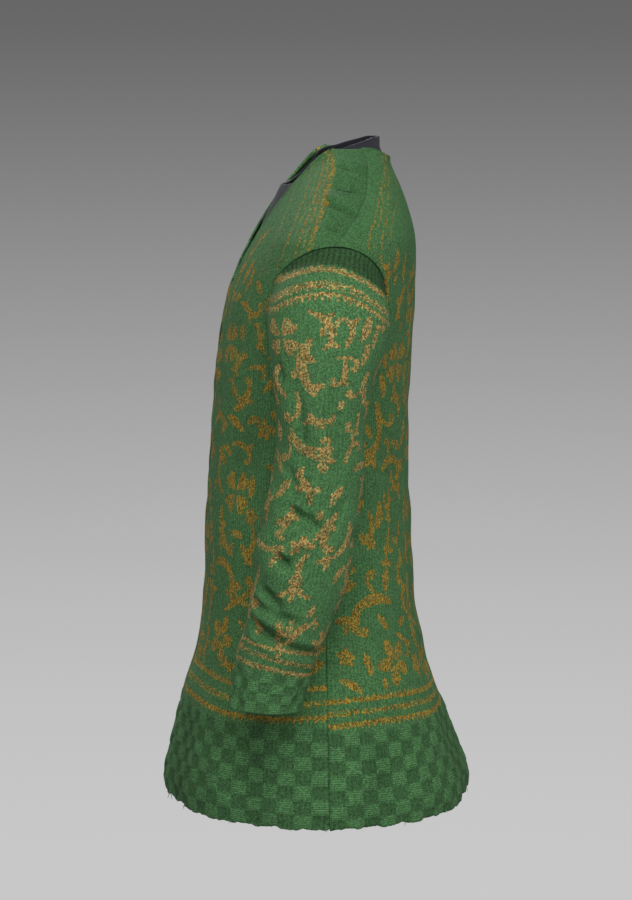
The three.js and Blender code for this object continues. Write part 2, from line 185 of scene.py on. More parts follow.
# Number of fine rows and columns of each grid. Every second one carries the inner face, so rows and
# the columns of an open piece are odd in number, and the columns of a tube are even.
BODY_GRIDS = {
    "front": {"low": 272, "armhole": 81, "high": 57, "columns": 145},
    "back": {"low": 204, "armhole": 61, "high": 43, "columns": 217},
}
SLEEVE_TOP_ROWS = 70
SLEEVE_LOW_ROWS = 213
SLEEVE_COLUMNS = 168
LINING_ROWS = 61
LINING_COLUMNS = 180

# ---------------------------------------------------------------- smooth curves and forms


def smooth_curve(x, y):
    """A curve through the points that never overshoots them: a cubic between each two, whose slope at a
    point is the weighted harmonic mean of the rises beside it. y may hold several curves as columns."""
    order = np.argsort(x)
    x = np.asarray(x, float)[order]
    y = np.asarray(y, float)[order]
    step = np.diff(x).reshape((-1,) + (1,) * (y.ndim - 1))
    rise = np.diff(y, axis=0) / step
    slope = np.empty_like(y)
    slope[0] = rise[0]
    slope[-1] = rise[-1]
    a = 2 * step[1:] + step[:-1]
    b = step[1:] + 2 * step[:-1]
    with np.errstate(divide="ignore", invalid="ignore"):
        mean = (a + b) / (a / rise[:-1] + b / rise[1:])
    slope[1:-1] = np.where(rise[:-1] * rise[1:] <= 0, 0, mean)

    def at(where):
        where = np.clip(where, x[0], x[-1])
        k = np.clip(np.searchsorted(x, where) - 1, 0, len(x) - 2)
        t = (where - x[k]) / (x[k + 1] - x[k])
        if y.ndim > 1:
            t = t[..., None]
        h = step[k].reshape(np.shape(t))
        u = 1 - t
        ends = y[k] * (1 + 2 * t) * u * u + y[k + 1] * t * t * (3 - 2 * t)
        return ends + h * (slope[k] * t * u * u - slope[k + 1] * t * t * u)

    return at


def column(rows, by, name):
    """One column of a table as a smooth function of another."""
    return smooth_curve(rows[by], rows[name])


body_front = column(BODY, "height", "front")
body_back = column(BODY, "height", "back")
body_half = column(BODY, "height", "half")
body_square = column(BODY, "height", "square")
side_line = column(SIDE, "height", "depth")
shoulder_seam = column(SHOULDER_SEAM, "height", "back")
neck_half = column(NECK, "height", "half")
lining_top = column(LINING, "angle", "top")
lining_low = column(LINING, "angle", "low")
lining_swell = column(LINING_SWELL, "height", "swell")


def smoothstep(value, low, high):
    """0 up to low, 1 from high, and an even S between."""
    t = np.clip((value - low) / (high - low), 0, 1)
    return t * t * (3 - 2 * t)


def form(angle, height):
    """The body: at each height a squared ellipse, deeper in front of its side line than behind it."""
    power = body_square(height)
    s = np.sin(angle)
    c = np.cos(angle)
    k = (np.abs(s) ** power + np.abs(c) ** power) ** (-1 / power)
    side = side_line(height)
    depth = np.where(c >= 0, side - body_front(height), body_back(height) - side)
    return np.stack([body_half(height) * s * k, side - c * k * depth, height + 0 * angle], -1)


def unit(vectors):
    """The vectors, each divided by its length."""
    return vectors / np.linalg.norm(vectors, axis=-1, keepdims=True)


def square_to_body(angle, height):
    """Square to the body's form: the cross of its differences round and up."""
    round_it = form(angle + 1e-3, height) - form(angle - 1e-3, height)
    up = form(angle, height + 0.05) - form(angle, height - 0.05)
    return unit(np.cross(round_it, up))


def square_to_grid(grid, wrap=False):
    """Square to a grid of points: the cross of its differences along the columns and the rows."""
    if wrap:
        across = np.roll(grid, -1, 1) - np.roll(grid, 1, 1)
    else:
        across = np.gradient(grid, axis=1)
    return unit(np.cross(across, np.gradient(grid, axis=0)))


def folded(folds, radius, height, degrees):
    """How far the folds push the cloth outward: each is a soft trough along its segment, with a low lip
    on either side of it, fading in and out over its ends."""
    push = np.zeros(np.broadcast(height, degrees).shape)
    for h0, a0, h1, a1, reach, depth in zip(*folds.values()):
        here = np.radians((degrees - a0 + 180) % 360 - 180) * radius
        end = np.radians((a1 - a0 + 180) % 360 - 180) * radius
        rise = h1 - h0
        up = height - h0
        t = (here * end + up * rise) / (end * end + rise * rise)
        near = np.clip(t, 0, 1)
        across = np.hypot(here - near * end, up - near * rise)
        fade = smoothstep(t, -0.25, 0.3) * smoothstep(1 - t, -0.25, 0.3)
        lip = np.exp(-(((across - 1.9 * reach) / reach) ** 2))
        push -= depth * fade * (np.exp(-((across / reach) ** 2)) - 0.4 * lip)
    return push


def waves(u, v, seed, height, longest):
    """Low uneven swells of the cloth: a sum of sines of seeded directions, lengths and phases."""
    rng = np.random.default_rng(seed)
    total = 0
    for k in range(9):
        length = longest * rng.uniform(0.3, 1.0)
        turn = rng.uniform(0, math.pi)
        phase = rng.uniform(0, 2 * math.pi)
        way = u * math.cos(turn) + v * math.sin(turn)
        total = total + np.sin(2 * math.pi * way / length + phase) * length / longest
    return total * height / 3


def angle_at_x(x, height):
    """Where the front half of a level reaches a given x."""
    power = body_square(height)
    u = np.minimum(1, x / body_half(height))
    return np.arctan2(u, (1 - u ** power) ** (1 / power))


def angle_at_depth(ahead, height):
    """Where the left side of a level is a given distance in front of its side line."""
    power = body_square(height)
    side = side_line(height)
    depth = np.where(ahead > 0, side - body_front(height), body_back(height) - side)
    v = np.abs(ahead) / depth
    return np.arctan2((1 - v ** power) ** (1 / power), np.sign(ahead) * v)


def body_push(angle, height):
    """How far the body's cloth is pushed outward: its wide folds, and the shoulder's stronger puckers."""
    degrees = np.degrees(angle)
    wide = folded(BODY_FOLDS, BODY_RADIUS, height, degrees)
    return wide + PUCKER_STRENGTH * folded(SHOULDER_PUCKERS, SHOULDER_RADIUS, height, degrees)


def in_folds(push, deep):
    """Painted shade for cloth that lies in a trough: 0 on the flat and more the deeper it lies, up to its
    full.
    """
    return FOLD_SHADE * np.clip(-push / deep, 0, 1)


def armhole(degrees):
    """Points of the left armhole, an oval on the body: 0 is the shoulder tip, 90 the front, 180 the
    underarm. Gives height, angle, point and outward direction."""
    a = np.radians(degrees)
    height = SLEEVE_START + ARMHOLE_HALF_HEIGHT * np.cos(a)
    ahead = ARMHOLE_HALF_DEPTH * np.sin(a) * (1 + 0.05 * np.cos(a))
    angle = angle_at_depth(ahead, height)
    out = square_to_body(angle, height)
    point = form(angle, height) + out * folded(BODY_FOLDS, BODY_RADIUS, height, np.degrees(angle))[..., None]
    return height, angle, point, out


# ---------------------------------------------------------------- lengths of cloth on the body

ARC_ANGLES = np.radians(np.linspace(0, 180, 361))
ARC_HEIGHTS = np.linspace(HEM, 0, 335)


def cloth_lengths():
    """Tables of lengths over the body's form: round each level from the centre front, round it from the
    centre back, and up the cloth along a wale, which keeps its distance round from the centre line."""
    points = form(ARC_ANGLES[None, :], ARC_HEIGHTS[:, None])
    step = np.linalg.norm(np.diff(points, axis=1), axis=-1)
    front = np.concatenate([np.zeros((len(ARC_HEIGHTS), 1)), np.cumsum(step, 1)], 1)
    back = front[:, -1:] - front
    ups = []
    for arc, way in ((front, slice(None)), (back, slice(None, None, -1))):
        up = np.repeat(ARC_HEIGHTS[:, None], len(ARC_ANGLES), 1)
        for i in range(int(np.searchsorted(ARC_HEIGHTS, UNDERARM)) + 1, len(ARC_HEIGHTS)):
            below = [np.interp(arc[i], arc[i - 1][way], points[i - 1][way][:, k]) for k in range(3)]
            climb = np.linalg.norm(points[i] - np.stack(below, -1), axis=-1)
            up[i] = np.interp(arc[i], arc[i - 1][way], up[i - 1][way]) + climb
        ups.append(up)
    return front, back, ups[0], ups[1]


ARC_FRONT, ARC_BACK, UP_FRONT, UP_BACK = cloth_lengths()


def looked_up(values, angle, height):
    """A table over the body's angles and heights, read in between its entries."""
    j = np.abs(angle) / (ARC_ANGLES[1] - ARC_ANGLES[0])
    i = (height - HEM) / (ARC_HEIGHTS[1] - ARC_HEIGHTS[0])
    i, j = np.broadcast_arrays(i, j)
    i0 = np.clip(i.astype(int), 0, values.shape[0] - 2)
    j0 = np.clip(j.astype(int), 0, values.shape[1] - 2)
    fi = np.clip(i - i0, 0, 1)
    fj = np.clip(j - j0, 0, 1)
    low = values[i0, j0] * (1 - fj) + values[i0, j0 + 1] * fj
    high = values[i0 + 1, j0] * (1 - fj) + values[i0 + 1, j0 + 1] * fj
    return low * (1 - fi) + high * fi


# ---------------------------------------------------------------- knitted ornament


def stroke(*points):
    """A curved mark of uneven width: a Catmull-Rom curve through (across, up, half width)."""
    p = np.array(points, float)
    p = np.concatenate([[2 * p[0] - p[1]], p, [2 * p[-1] - p[-2]]])
    p0, p1, p2, p3 = p[:-3, None], p[1:-2, None], p[2:-1, None], p[3:, None]
    t = np.linspace(0, 1, 5)[:-1][None, :, None]
    cubic = (3 * p1 - p0 - 3 * p2 + p3) * t ** 3 + (2 * p0 - 5 * p1 + 4 * p2 - p3) * t ** 2
    bent = (2 * p1 + (p2 - p0) * t + cubic) / 2
    return np.concatenate([bent.reshape(-1, 3), p[-2:-1]])


def flower(petals, length, width, first=0.0):
    """Petals round a bare middle, each widest past its half."""
    made = []
    for k in range(petals):
        turn = math.radians(first + 360 * k / petals)
        way = np.array([math.sin(turn), math.cos(turn)])
        rows = [(*(way * length * part), width * share / 2)
                for part, share in ((0.3, 0.35), (0.52, 0.85), (0.75, 1.0), (0.95, 0.55))]
        made.append(stroke(*rows))
    return made


def notched_flower(petals, length, width, first=0.0):
    """Heart-shaped petals: each is two blobs side by side on a narrow foot."""
    made = []
    for k in range(petals):
        turn = math.radians(first + 360 * k / petals)
        way = np.array([math.sin(turn), math.cos(turn)])
        beside = np.array([way[1], -way[0]])
        foot = way * length * 0.28
        for hand in (-1, 1):
            tip = way * length * 0.86 + beside * hand * width * 0.27
            half_way = (foot + tip) / 2
            made.append(stroke((*foot, width * 0.1), (*half_way, width * 0.19), (*tip, width * 0.22)))
    return made


def leaf(length, width, bend):
    """A pointed leaf that stands up through the origin and bends to one side."""
    rows = [(bend * part ** 2, length * (part - 0.5), width * share / 2)
            for part, share in ((0, 0.25), (0.3, 0.8), (0.6, 1.0), (0.85, 0.6), (1, 0.2))]
    return [stroke(*rows)]


def spray(length, bend, curl, width, leaves=0, lobe=12.0):
    """A growing stem: its heading turns evenly by bend, and by curl more and more toward the tip, its
    width swells to its middle, and lobed leaves stand from it by turns. Its middle is at the origin."""
    part = np.linspace(0, 1, 21)
    heading = np.radians(bend * (part - 0.5) + curl * part ** 4)
    step = np.stack([np.sin(heading), np.cos(heading)], 1)[:-1] * length / 20
    line = np.concatenate([[[0, 0]], np.cumsum(step, 0)])
    line = line - line[:11].mean(0) * 0.5 - line[10:].mean(0) * 0.5
    half = np.maximum(0.85, width / 2 * np.sin(math.pi * part ** 0.8) ** 0.7)
    made = [np.concatenate([line, half[:, None]], 1)]
    for k in range(leaves):
        at = int(round(20 * (k + 0.8) / (leaves + 0.6)))
        way = heading[at] + (1 if k % 2 else -1) * 0.95
        foot = line[at]
        tip = foot + lobe * np.array([math.sin(way), math.cos(way)])
        bent = foot + lobe * 0.55 * np.array([math.sin(way + 0.25), math.cos(way + 0.25)])
        made.append(stroke((*foot, 0.9), (*bent, lobe * 0.22), (*tip, lobe * 0.12)))
    return made


def moved(lines, across, up, turn):
    """The lines turned clockwise by an angle and moved."""
    c, s = math.cos(turn), math.sin(turn)
    return [np.stack([across + x * c + y * s, up - x * s + y * c, half], 1)
            for x, y, half in (line.T for line in lines)]


def branch(length, bend, width, tendrils, head):
    """A spray whose stem bears curling tendrils by turns and a head of lobes at its tip."""
    made = spray(length, bend, 0, width)
    line = made[0]
    way = np.arctan2(*np.gradient(line[:, :2], axis=0).T)
    for k in range(tendrils):
        at = int(20 * (k + 0.6) / (tendrils + 0.4))
        side = 1 if k % 2 else -1
        curled = spray(40, 40 * side, 330 * side, 2.2)[0]
        curled[:, :2] -= curled[0, :2]
        made += moved([curled], *line[at, :2], way[at] + 0.8 * side)
    for k in range(head):
        turn = way[-1] + (k - (head - 1) / 2) * 0.95
        made += moved([stroke((0, -1, 1.4), (0, 6, 2.8), (0.5, 12, 1.4))], *line[-1, :2], turn)
    return made


def mirrored(lines):
    """The lines and the same on the other side of the upright."""
    return lines + [line * np.array([-1, 1, 1]) for line in lines]


def tulip():
    """Two petals that open from a foot round a third, upright one."""
    side = stroke((0, -15, 1.2), (7, -8, 2.4), (9, 4, 2.8), (15, 14, 1.2))
    return mirrored([side]) + [stroke((0, -2, 1.4), (0, 7, 2.4), (0, 15, 1.2)),
                              stroke((4, -30, 0.9), (1, -22, 1.2), (0, -15, 1.6))]


def thistle():
    """A round head on a waisted stem with three rays above it."""
    ray = stroke((3, 7, 1.2), (8, 14, 1.6), (15, 17, 0.9))
    head = stroke((0, -8, 2.4), (0, -1, 4.8), (0, 6, 3.0))
    return mirrored([ray]) + [head, stroke((0, 6, 1.6), (0, 20, 1.2)),
                              stroke((-4, -30, 0.9), (1, -18, 1.2), (0, -8, 2.0))]


def acorn():
    """A fat seed in its cap on a short stem."""
    return [stroke((0, -4, 3.8), (0, 4, 4.6), (0, 10, 2.4), (0, 15, 0.9)),
            stroke((-7, -12, 1.6), (0, -14, 2.2), (7, -12, 1.6)), stroke((4, -28, 0.9), (0, -15, 1.4))]


SHAPES = {
    "rose": lambda: notched_flower(4, 19, 15, 40),
    "pink": lambda: flower(5, 18, 9.5, 20),
    "daisy": lambda: flower(5, 9, 5, 10),
    "leaf": lambda: leaf(22, 8.0, 6),
    "long_leaf": lambda: leaf(36, 8.5, 13),
    "stem": lambda: spray(56, 100, 0, 5.0, 3, 11),
    "bough": lambda: spray(60, -80, 0, 9.5, 3, 13),
    "branch": lambda: branch(52, 90, 7.5, 2, 3),
    "twig": lambda: branch(36, -60, 5.5, 1, 3),
    "swing": lambda: spray(74, 40, -210, 6.0, 3, 11),
    "hook": lambda: spray(50, 60, 230, 4.4, 1, 10),
    "curl": lambda: spray(70, 70, 420, 3.4),
    "sprig": lambda: spray(30, 60, 0, 4.4, 3, 9),
    "tulip": tulip,
    "thistle": thistle,
    "acorn": acorn,
    "dot": lambda: [stroke((0, -2, 1.8), (1, 2, 2.2))],
}


FLOWERS = ("rose", "pink", "tulip", "thistle", "acorn")


def motifs(text):
    """Placed ornaments from rows of: distance round from the centre line, height, shape, size, turn in
    degrees, and a minus where the shape is turned over."""
    rows = [row.split() for row in text.split(",")]
    return [(float(u), float(z), shape, float(size), float(turn), -1 if over else 1)
            for u, z, shape, size, turn, *over in rows]


FRONT_MOTIFS = motifs("""
    84 -195 rose 1.1 0, 151 -186 sprig 1.0 -20, 128 -158 swing 0.8 120, 106 -158 curl 0.6 200,
    158 -150 dot 1 0, 84 -148 leaf 0.8 60, 60 -172 branch 0.7 150 -, 103 -190 leaf 1.0 176,
    148 -218 hook 0.7 100, 126 -246 bough 0.8 40, 104 -238 sprig 1.0 130, 110 -268 long_leaf 0.9 92,
    66 -272 branch 0.8 80, 88 -286 dot 0.8 0, 60 -236 stem 0.8 8 -, 126 -300 hook 1.0 110,
    95 -300 leaf 0.8 100, 156 -276 daisy 1.1 0, 119 -342 rose 1.15 4, 78 -330 branch 0.8 -16,
    98 -386 bough 1.0 144, 124 -382 leaf 0.8 80, 150 -390 twig 0.8 190 -, 146 -364 daisy 0.9 0,
    120 -410 stem 0.6 170, 104 -420 branch 1.0 112, 152 -418 curl 0.6 30, 66 -420 hook 0.9 184,
    134 -446 swing 0.9 76, 104 -442 sprig 0.9 60, 66 -458 thistle 1.0 12, 106 -492 pink 1.2 0,
    150 -484 branch 0.8 150, 146 -508 daisy 1.1 0, 68 -506 sprig 1.1 10, 178 -330 thistle 1.0 8,
    184 -268 rose 0.95 0, 186 -404 pink 1.0 12, 182 -464 tulip 1.1 -14, 170 -228 long_leaf 0.8 200,
    206 -300 bough 0.8 170, 206 -366 curl 0.8 40 -, 208 -436 branch 0.8 16 -, 222 -500 rose 0.9 0,
    192 -214 hook 0.8 60, 36 -222 rose 1.0 0, 30 -306 pink 1.1 0, 36 -350 curl 0.9 120,
    26 -402 rose 1.0 10, 30 -456 tulip 1.1 0, 34 -508 rose 0.9 0, 40 -266 bough 0.8 150,
    14 -262 twig 0.7 6, 54 -386 stem 0.8 -8 -, 170 -150 sprig 1.0 20, 56 -136 twig 0.7 24,
    12 -352 leaf 1.0 12, 10 -430 leaf 1.0 170, 12 -484 sprig 1.0 0, 56 -306 leaf 0.9 190,
    196 -240 leaf 0.8 180, 88 -226 hook 0.9 200, 140 -266 leaf 0.8 60, 156 -256 sprig 0.8 0,
    72 -214 daisy 0.9 0, 84 -316 curl 0.6 60, 146 -334 leaf 0.9 170, 96 -352 leaf 0.9 200,
    126 -398 hook 0.7 30 -, 84 -404 sprig 0.9 0, 156 -446 leaf 0.8 10, 122 -460 hook 0.7 200,
    88 -478 leaf 1.0 30, 128 -516 sprig 0.9 90, 88 -516 daisy 0.9 0, 64 -156 hook 0.8 0,
    140 -134 leaf 0.8 110, 116 -182 daisy 0.8 0, 64 -346 dot 1 0, 20 -326 sprig 1 0, 196 -330 hook 0.9 0,
    198 -484 sprig 1 20,
    70 -104 sprig 1.0 10, 92 -122 leaf 1.1 16, 84 -88 leaf 0.9 24, 108 -132 sprig 0.8 30,
    60 -126 leaf 1 16""")
BACK_MOTIFS = motifs("""
    -158 -108 leaf 1.0 176, -139 -116 long_leaf 0.7 196 -, -134 -150 bough 0.7 208, -156 -128 dot 1.2 0,
    -92 -158 rose 0.95 0, -162 -186 curl 0.6 90, -122 -212 rose 1.1 6, -148 -206 leaf 0.8 130,
    -146 -232 leaf 1.0 150, -104 -246 branch 0.9 164 -, -172 -226 stem 0.9 176, -150 -276 branch 1.1 186,
    -168 -276 leaf 0.9 160 -, -130 -282 stem 0.6 190, -94 -286 leaf 1.1 176, -124 -312 branch 0.9 90,
    -140 -330 curl 0.6 200, -172 -320 sprig 0.9 180, -100 -352 bough 1.0 172, -176 -348 leaf 0.9 176,
    -150 -362 leaf 1.1 178, -164 -372 twig 0.8 180 -, -120 -386 hook 0.7 220, -134 -354 sprig 1.0 200,
    -162 -412 swing 0.9 110, -147 -424 acorn 1.0 190, -122 -412 long_leaf 0.8 230,
    -172 -450 branch 1.2 255 -, -134 -440 leaf 1.2 250, -184 -476 curl 0.8 100, -158 -468 leaf 0.8 130,
    -114 -446 sprig 1.0 190, -94 -448 long_leaf 1.0 176, -122 -474 leaf 0.8 240, -152 -510 pink 1.2 28,
    -106 -520 daisy 1.2 20, -210 -500 daisy 0.9 0, -212 -526 leaf 0.9 110, -96 -494 leaf 1.1 -30,
    -196 -300 rose 0.95 0, -206 -362 tulip 0.95 0, -204 -420 rose 0.85 10, -88 -250 daisy 0.9 0,
    -92 -404 sprig 1.0 8, -60 -226 tulip 1.0 0, -58 -300 rose 1.05 4, -62 -356 curl 0.9 200,
    -60 -408 pink 1.05 0, -56 -466 thistle 1.0 -8, -62 -524 rose 0.95 0, -18 -204 pink 1.0 12,
    -20 -262 bough 0.9 10 -, -16 -336 thistle 1.0 6, -20 -392 branch 0.8 20, -14 -446 rose 1.05 4,
    -20 -506 tulip 1.0 0, -44 -156 swing 0.8 10, -8 -136 rose 0.9 6, -38 -262 twig 0.7 170,
    -78 -330 stem 0.8 6, -38 -434 twig 0.7 184, -38 -498 stem 0.7 4 -, -110 -184 twig 0.7 8,
    -40 -340 leaf 0.9 186, -112 -176 hook 0.8 10, -168 -154 sprig 0.9 170, -126 -176 dot 1 0,
    -110 -208 leaf 0.8 0, -126 -262 sprig 0.8 190, -146 -250 hook 0.7 0, -112 -294 leaf 0.8 100,
    -166 -298 leaf 0.8 170, -116 -336 hook 0.7 90, -142 -346 dot 1.1 0, -112 -368 leaf 0.8 190,
    -138 -392 hook 0.7 180 -, -178 -394 sprig 1.0 170, -160 -436 dot 1.2 0, -182 -430 hook 0.6 90,
    -136 -470 hook 0.7 110, -186 -508 leaf 0.9 160, -138 -530 sprig 0.9 90, -174 -530 dot 1.2 0,
    -94 -226 leaf 1 0, -40 -200 hook 0.9 0, -30 -300 leaf 1 190, -84 -376 hook 0.8 10, -34 -372 sprig 1 0,
    -84 -520 sprig 1 0""")
# Across is measured from the sleeve's outer line toward the back.
SLEEVE_MOTIFS = motifs("""
    -40 -176 rose 0.95 0, -16 -204 bough 0.95 172, -1 -214 twig 0.9 182 -, -2 -166 stem 0.75 164,
    13 -168 hook 0.8 -6 -, 21 -200 curl 0.55 120, 31 -168 leaf 0.9 176, 44 -174 hook 0.6 20,
    35 -192 leaf 0.8 168, -28 -246 curl 0.7 196, 42 -230 branch 0.8 160 -, 14 -240 dot 0.9 0,
    50 -264 leaf 0.9 176, -5 -256 sprig 0.9 90, 9 -286 bough 0.9 176 -, -18 -280 twig 1.1 132,
    -34 -286 curl 0.55 190, -48 -266 leaf 0.8 160, -46 -292 long_leaf 0.7 120, 30 -284 hook 0.7 40,
    40 -300 leaf 0.8 60, -32 -322 leaf 0.9 200, -3 -318 bough 0.7 168, 14 -328 leaf 0.8 14,
    -22 -352 sprig 1.0 200, 4 -346 dot 0.9 0, -46 -376 twig 0.9 110, -5 -376 daisy 1.0 0,
    14 -364 bough 0.7 186, 32 -374 branch 0.8 210, 43 -348 leaf 0.8 190, -30 -392 dot 1.0 0,
    -5 -410 thistle 0.9 184, 14 -404 hook 0.7 92, -26 -414 leaf 0.9 100, -6 -436 leaf 1.1 182,
    25 -427 stem 0.9 70, -1 -462 tulip 0.8 8, -20 -446 sprig 0.8 110, -36 -452 leaf 0.9 120,
    20 -455 hook 0.5 60, 46 -402 twig 0.7 176, -50 -408 leaf 0.9 190, 56 -326 stem 0.8 180 -,
    -54 -338 sprig 1.0 180, 62 -212 twig 0.7 184, 58 -430 rose 0.8 0, -58 -232 leaf 1.0 170 -,
    -64 -310 swing 0.8 0 -, -58 -434 pink 0.85 0, 84 -212 rose 0.9 0, 92 -262 tulip 0.9 0,
    84 -330 pink 0.95 0, 94 -386 thistle 0.85 0 -, 86 -446 curl 0.9 0, -88 -262 rose 0.95 0,
    -92 -322 thistle 0.9 0, -84 -398 curl 1.0 90 -, -92 -446 rose 0.85 0, 118 -262 branch 0.8 10,
    116 -322 curl 0.9 40, 120 -396 bough 0.8 170 -, 122 -448 tulip 0.8 0, -116 -290 acorn 1.0 0,
    -118 -356 branch 0.8 20, -116 -424 daisy 1.1 0, 74 -366 leaf 0.9 8, 72 -290 leaf 0.9 190,
    -72 -366 leaf 0.9 186, 102 -300 leaf 0.9 178, -22 -164 leaf 0.8 20, -34 -214 sprig 0.9 180,
    12 -212 hook 0.7 190, 30 -214 sprig 0.8 140, 28 -240 leaf 0.8 20, -14 -236 leaf 0.8 190,
    22 -262 dot 1.1 0, 34 -262 hook 0.6 190, -22 -262 dot 1.2 0, -14 -300 hook 0.7 200,
    22 -308 sprig 0.9 10, -14 -334 leaf 0.8 160, 28 -330 hook 0.7 10 -, 0 -362 leaf 0.8 70,
    -36 -360 hook 0.7 90, 22 -392 leaf 0.8 60, -20 -398 sprig 0.8 100, 32 -404 leaf 0.8 20,
    14 -440 dot 1.2 0, -24 -430 hook 0.6 200, 40 -442 sprig 0.9 30, 72 -330 hook 0.8 0, -70 -270 sprig 1 0,
    70 -404 sprig 1 10""")


def is_clear(line, others, gap=ORNAMENT_GAP):
    """Whether a stroke keeps its gap from the other strokes, edge to edge."""
    if not others:
        return True
    points = np.concatenate(others)
    x, y, half = points[np.abs(points[:, 1] - line[:, 1].mean()) < 60].T
    apart = np.hypot(line[:, :1] - x, line[:, 1:2] - y) - line[:, 2:] - half
    return apart.min(initial=FAR) > gap


# Each field: from and to across, from and to in height.
FRONT_FIELD = (8, 200, -518, -134)
BACK_FIELD = (-172, -6, -532, -120)
SLEEVE_FIELD = (-124, 124, -470, -146)

# What fills the ground between the placed ornaments: shape, size, and the step of the places tried.
FILLING = (("branch", 1.1, 20), ("tulip", 0.8, 18), ("hook", 0.9, 16), ("sprig", 1.1, 14))


def placed(rows, field, seed, wander):
    """The strokes of every ornament, turned and moved to its place, a little uneven where asked. The
    flowers go first. An ornament whose stem would touch an earlier one is left out, and so is any other
    stroke that would run into one. Then smaller ones fill the field wherever they stay clear."""
    rng = np.random.default_rng(seed)
    made = []
    for u, z, shape, size, turn, hand in sorted(rows, key=lambda row: row[2] not in FLOWERS):
        du, dz, dturn = rng.normal(0, 1, 3) * wander
        here = [line * np.array([size * hand, size, size]) for line in SHAPES[shape]()]
        here = moved(here, u + du, z + dz, math.radians(turn + 3 * dturn))
        if shape in FLOWERS or is_clear(here[0], made, STEM_GAP):
            made += [line for line in here if is_clear(line, made, LOBE_GAP)]
    left, right, low, high = field
    for shape, size, step in FILLING:
        tried = np.meshgrid(np.arange(left, right, step), np.arange(low, high, step))
        for u, z in np.stack(tried, -1).reshape(-1, 2):
            du, dz, turn, hand = rng.uniform(-1, 1, 4)
            here = [line * np.array([size * np.sign(hand), size, size]) for line in SHAPES[shape]()]
            here = moved(here, u + du * step / 3, z + dz * step / 3, turn * 0.9 + (math.pi if dz > 0 else 0))
            if all(is_clear(line, made) for line in here):
                made += here
    return made


def distance_to(strokes, u, z):
    """Distance to the nearest stroke's edge, negative inside one, found where it is less than FAR."""
    best = np.full(u.shape, FAR)
    for line in strokes:
        reach = line[:, 2].max() + FAR
        near = (u > line[:, 0].min() - reach) & (u < line[:, 0].max() + reach)
        near &= (z > line[:, 1].min() - reach) & (z < line[:, 1].max() + reach)
        if not near.any():
            continue
        here = np.stack([u[near], z[near]], 1)[:, None]
        start = line[None, :-1]
        step = line[None, 1:] - start
        length2 = np.maximum((step[..., :2] ** 2).sum(-1), 1e-9)
        t = np.clip(((here - start[..., :2]) * step[..., :2]).sum(-1) / length2, 0, 1)
        gap = np.linalg.norm(here - start[..., :2] - t[..., None] * step[..., :2], axis=-1)
        gap = (gap - start[..., 2] - t * step[..., 2]).min(1) - BOLDER
        best[near] = np.minimum(best[near], gap)
    return best


def toothed(across, along, half, tooth, period):
    """Distance to a band with pointed teeth on its upper side: across is the distance from its middle."""
    point = np.abs((along / period) % 1 - 0.5) * 2
    upper = across - half - tooth * np.clip(1.6 * point - 0.6, 0, 1)
    return np.maximum(upper, -across - half)


def speckled(across, half):
    """A band that is neither in nor out, so that the stitches' own unevenness decides."""
    return np.maximum(np.abs(across) - half, -0.06)


def three_bands(height, along, upper, middle, low, period):
    """Three bands round a hem: the upper with teeth up, the middle speckled, the lowest with teeth down."""
    top = toothed(height - upper, along, 1.9, 3.6, period)
    bottom = toothed(low - height, along + period / 3, 1.9, 4.4, period)
    return np.minimum(np.minimum(top, bottom), speckled(height - middle, 3.2))


# ---------------------------------------------------------------- grids of the pieces


def basket(column_at, row_at, inside):
    """Squares of a basket stitch by turns raised and sunk: the product of two rounded square waves,
    from -1 to 1, fading out where inside falls to 0."""
    return np.tanh(5 * np.sin(math.pi * column_at)) * np.tanh(5 * np.sin(math.pi * row_at)) * inside


def step_round(values, period=0.0):
    """Half the difference of each column's two neighbours round a tube, less the period where it jumps."""
    d = np.roll(values, -1, 1) - np.roll(values, 1, 1)
    if period:
        d = np.where(d > period / 2, d - period, np.where(d < -period / 2, d + period, d))
    return d / 2


def slopes(values, u, v, wrap=False):
    """How fast values change along u and along v on a grid: its differences, solved for both."""
    if wrap:
        span = u.max() - u.min() + abs(u[0, 1] - u[0, 0])
        sj, uj, vj = step_round(values), step_round(u, span), step_round(v)
    else:
        sj, uj, vj = (np.gradient(a, axis=1) for a in (values, u, v))
    si, ui, vi = (np.gradient(a, axis=0) for a in (values, u, v))
    det = ui * vj - uj * vi
    det = np.where(np.abs(det) < 1e-6, 1e-6, det)
    gu = (si * vj - sj * vi) / det
    gv = (ui * sj - uj * si) / det
    return np.clip(gu, -1.5, 1.5), np.clip(gv, -1.5, 1.5)


def body_rows(grid, top):
    """Heights of a body panel's rows, with the armhole's own angle where the armhole bounds them."""
    turn = np.linspace(180, 0, grid["armhole"])
    low = np.linspace(HEM, UNDERARM, grid["low"], endpoint=False)
    arm = SLEEVE_START + ARMHOLE_HALF_HEIGHT * np.cos(np.radians(turn))
    high = np.linspace(SHOULDER_TIP, top, grid["high"])[1:]
    turns = np.concatenate([np.full(len(low), np.nan), turn, np.full(len(high), np.nan)])
    return np.concatenate([low, arm, high]), turns


def outer_edge(heights, turns, is_front):
    """Angle of a panel's outer edge at each row: the side seam, the armhole or the shoulder seam."""
    hand = 1 if is_front else -1
    seam = np.where(heights > SHOULDER_TIP, -shoulder_seam(heights), 0) + hand * SEAM / 2
    edge = angle_at_depth(seam, heights)
    turned = (turns > 0.1) & (turns < 179.9)
    turn = np.where(turned, turns, 90.0)
    return np.where(turned, armhole(hand * turn)[1], edge)


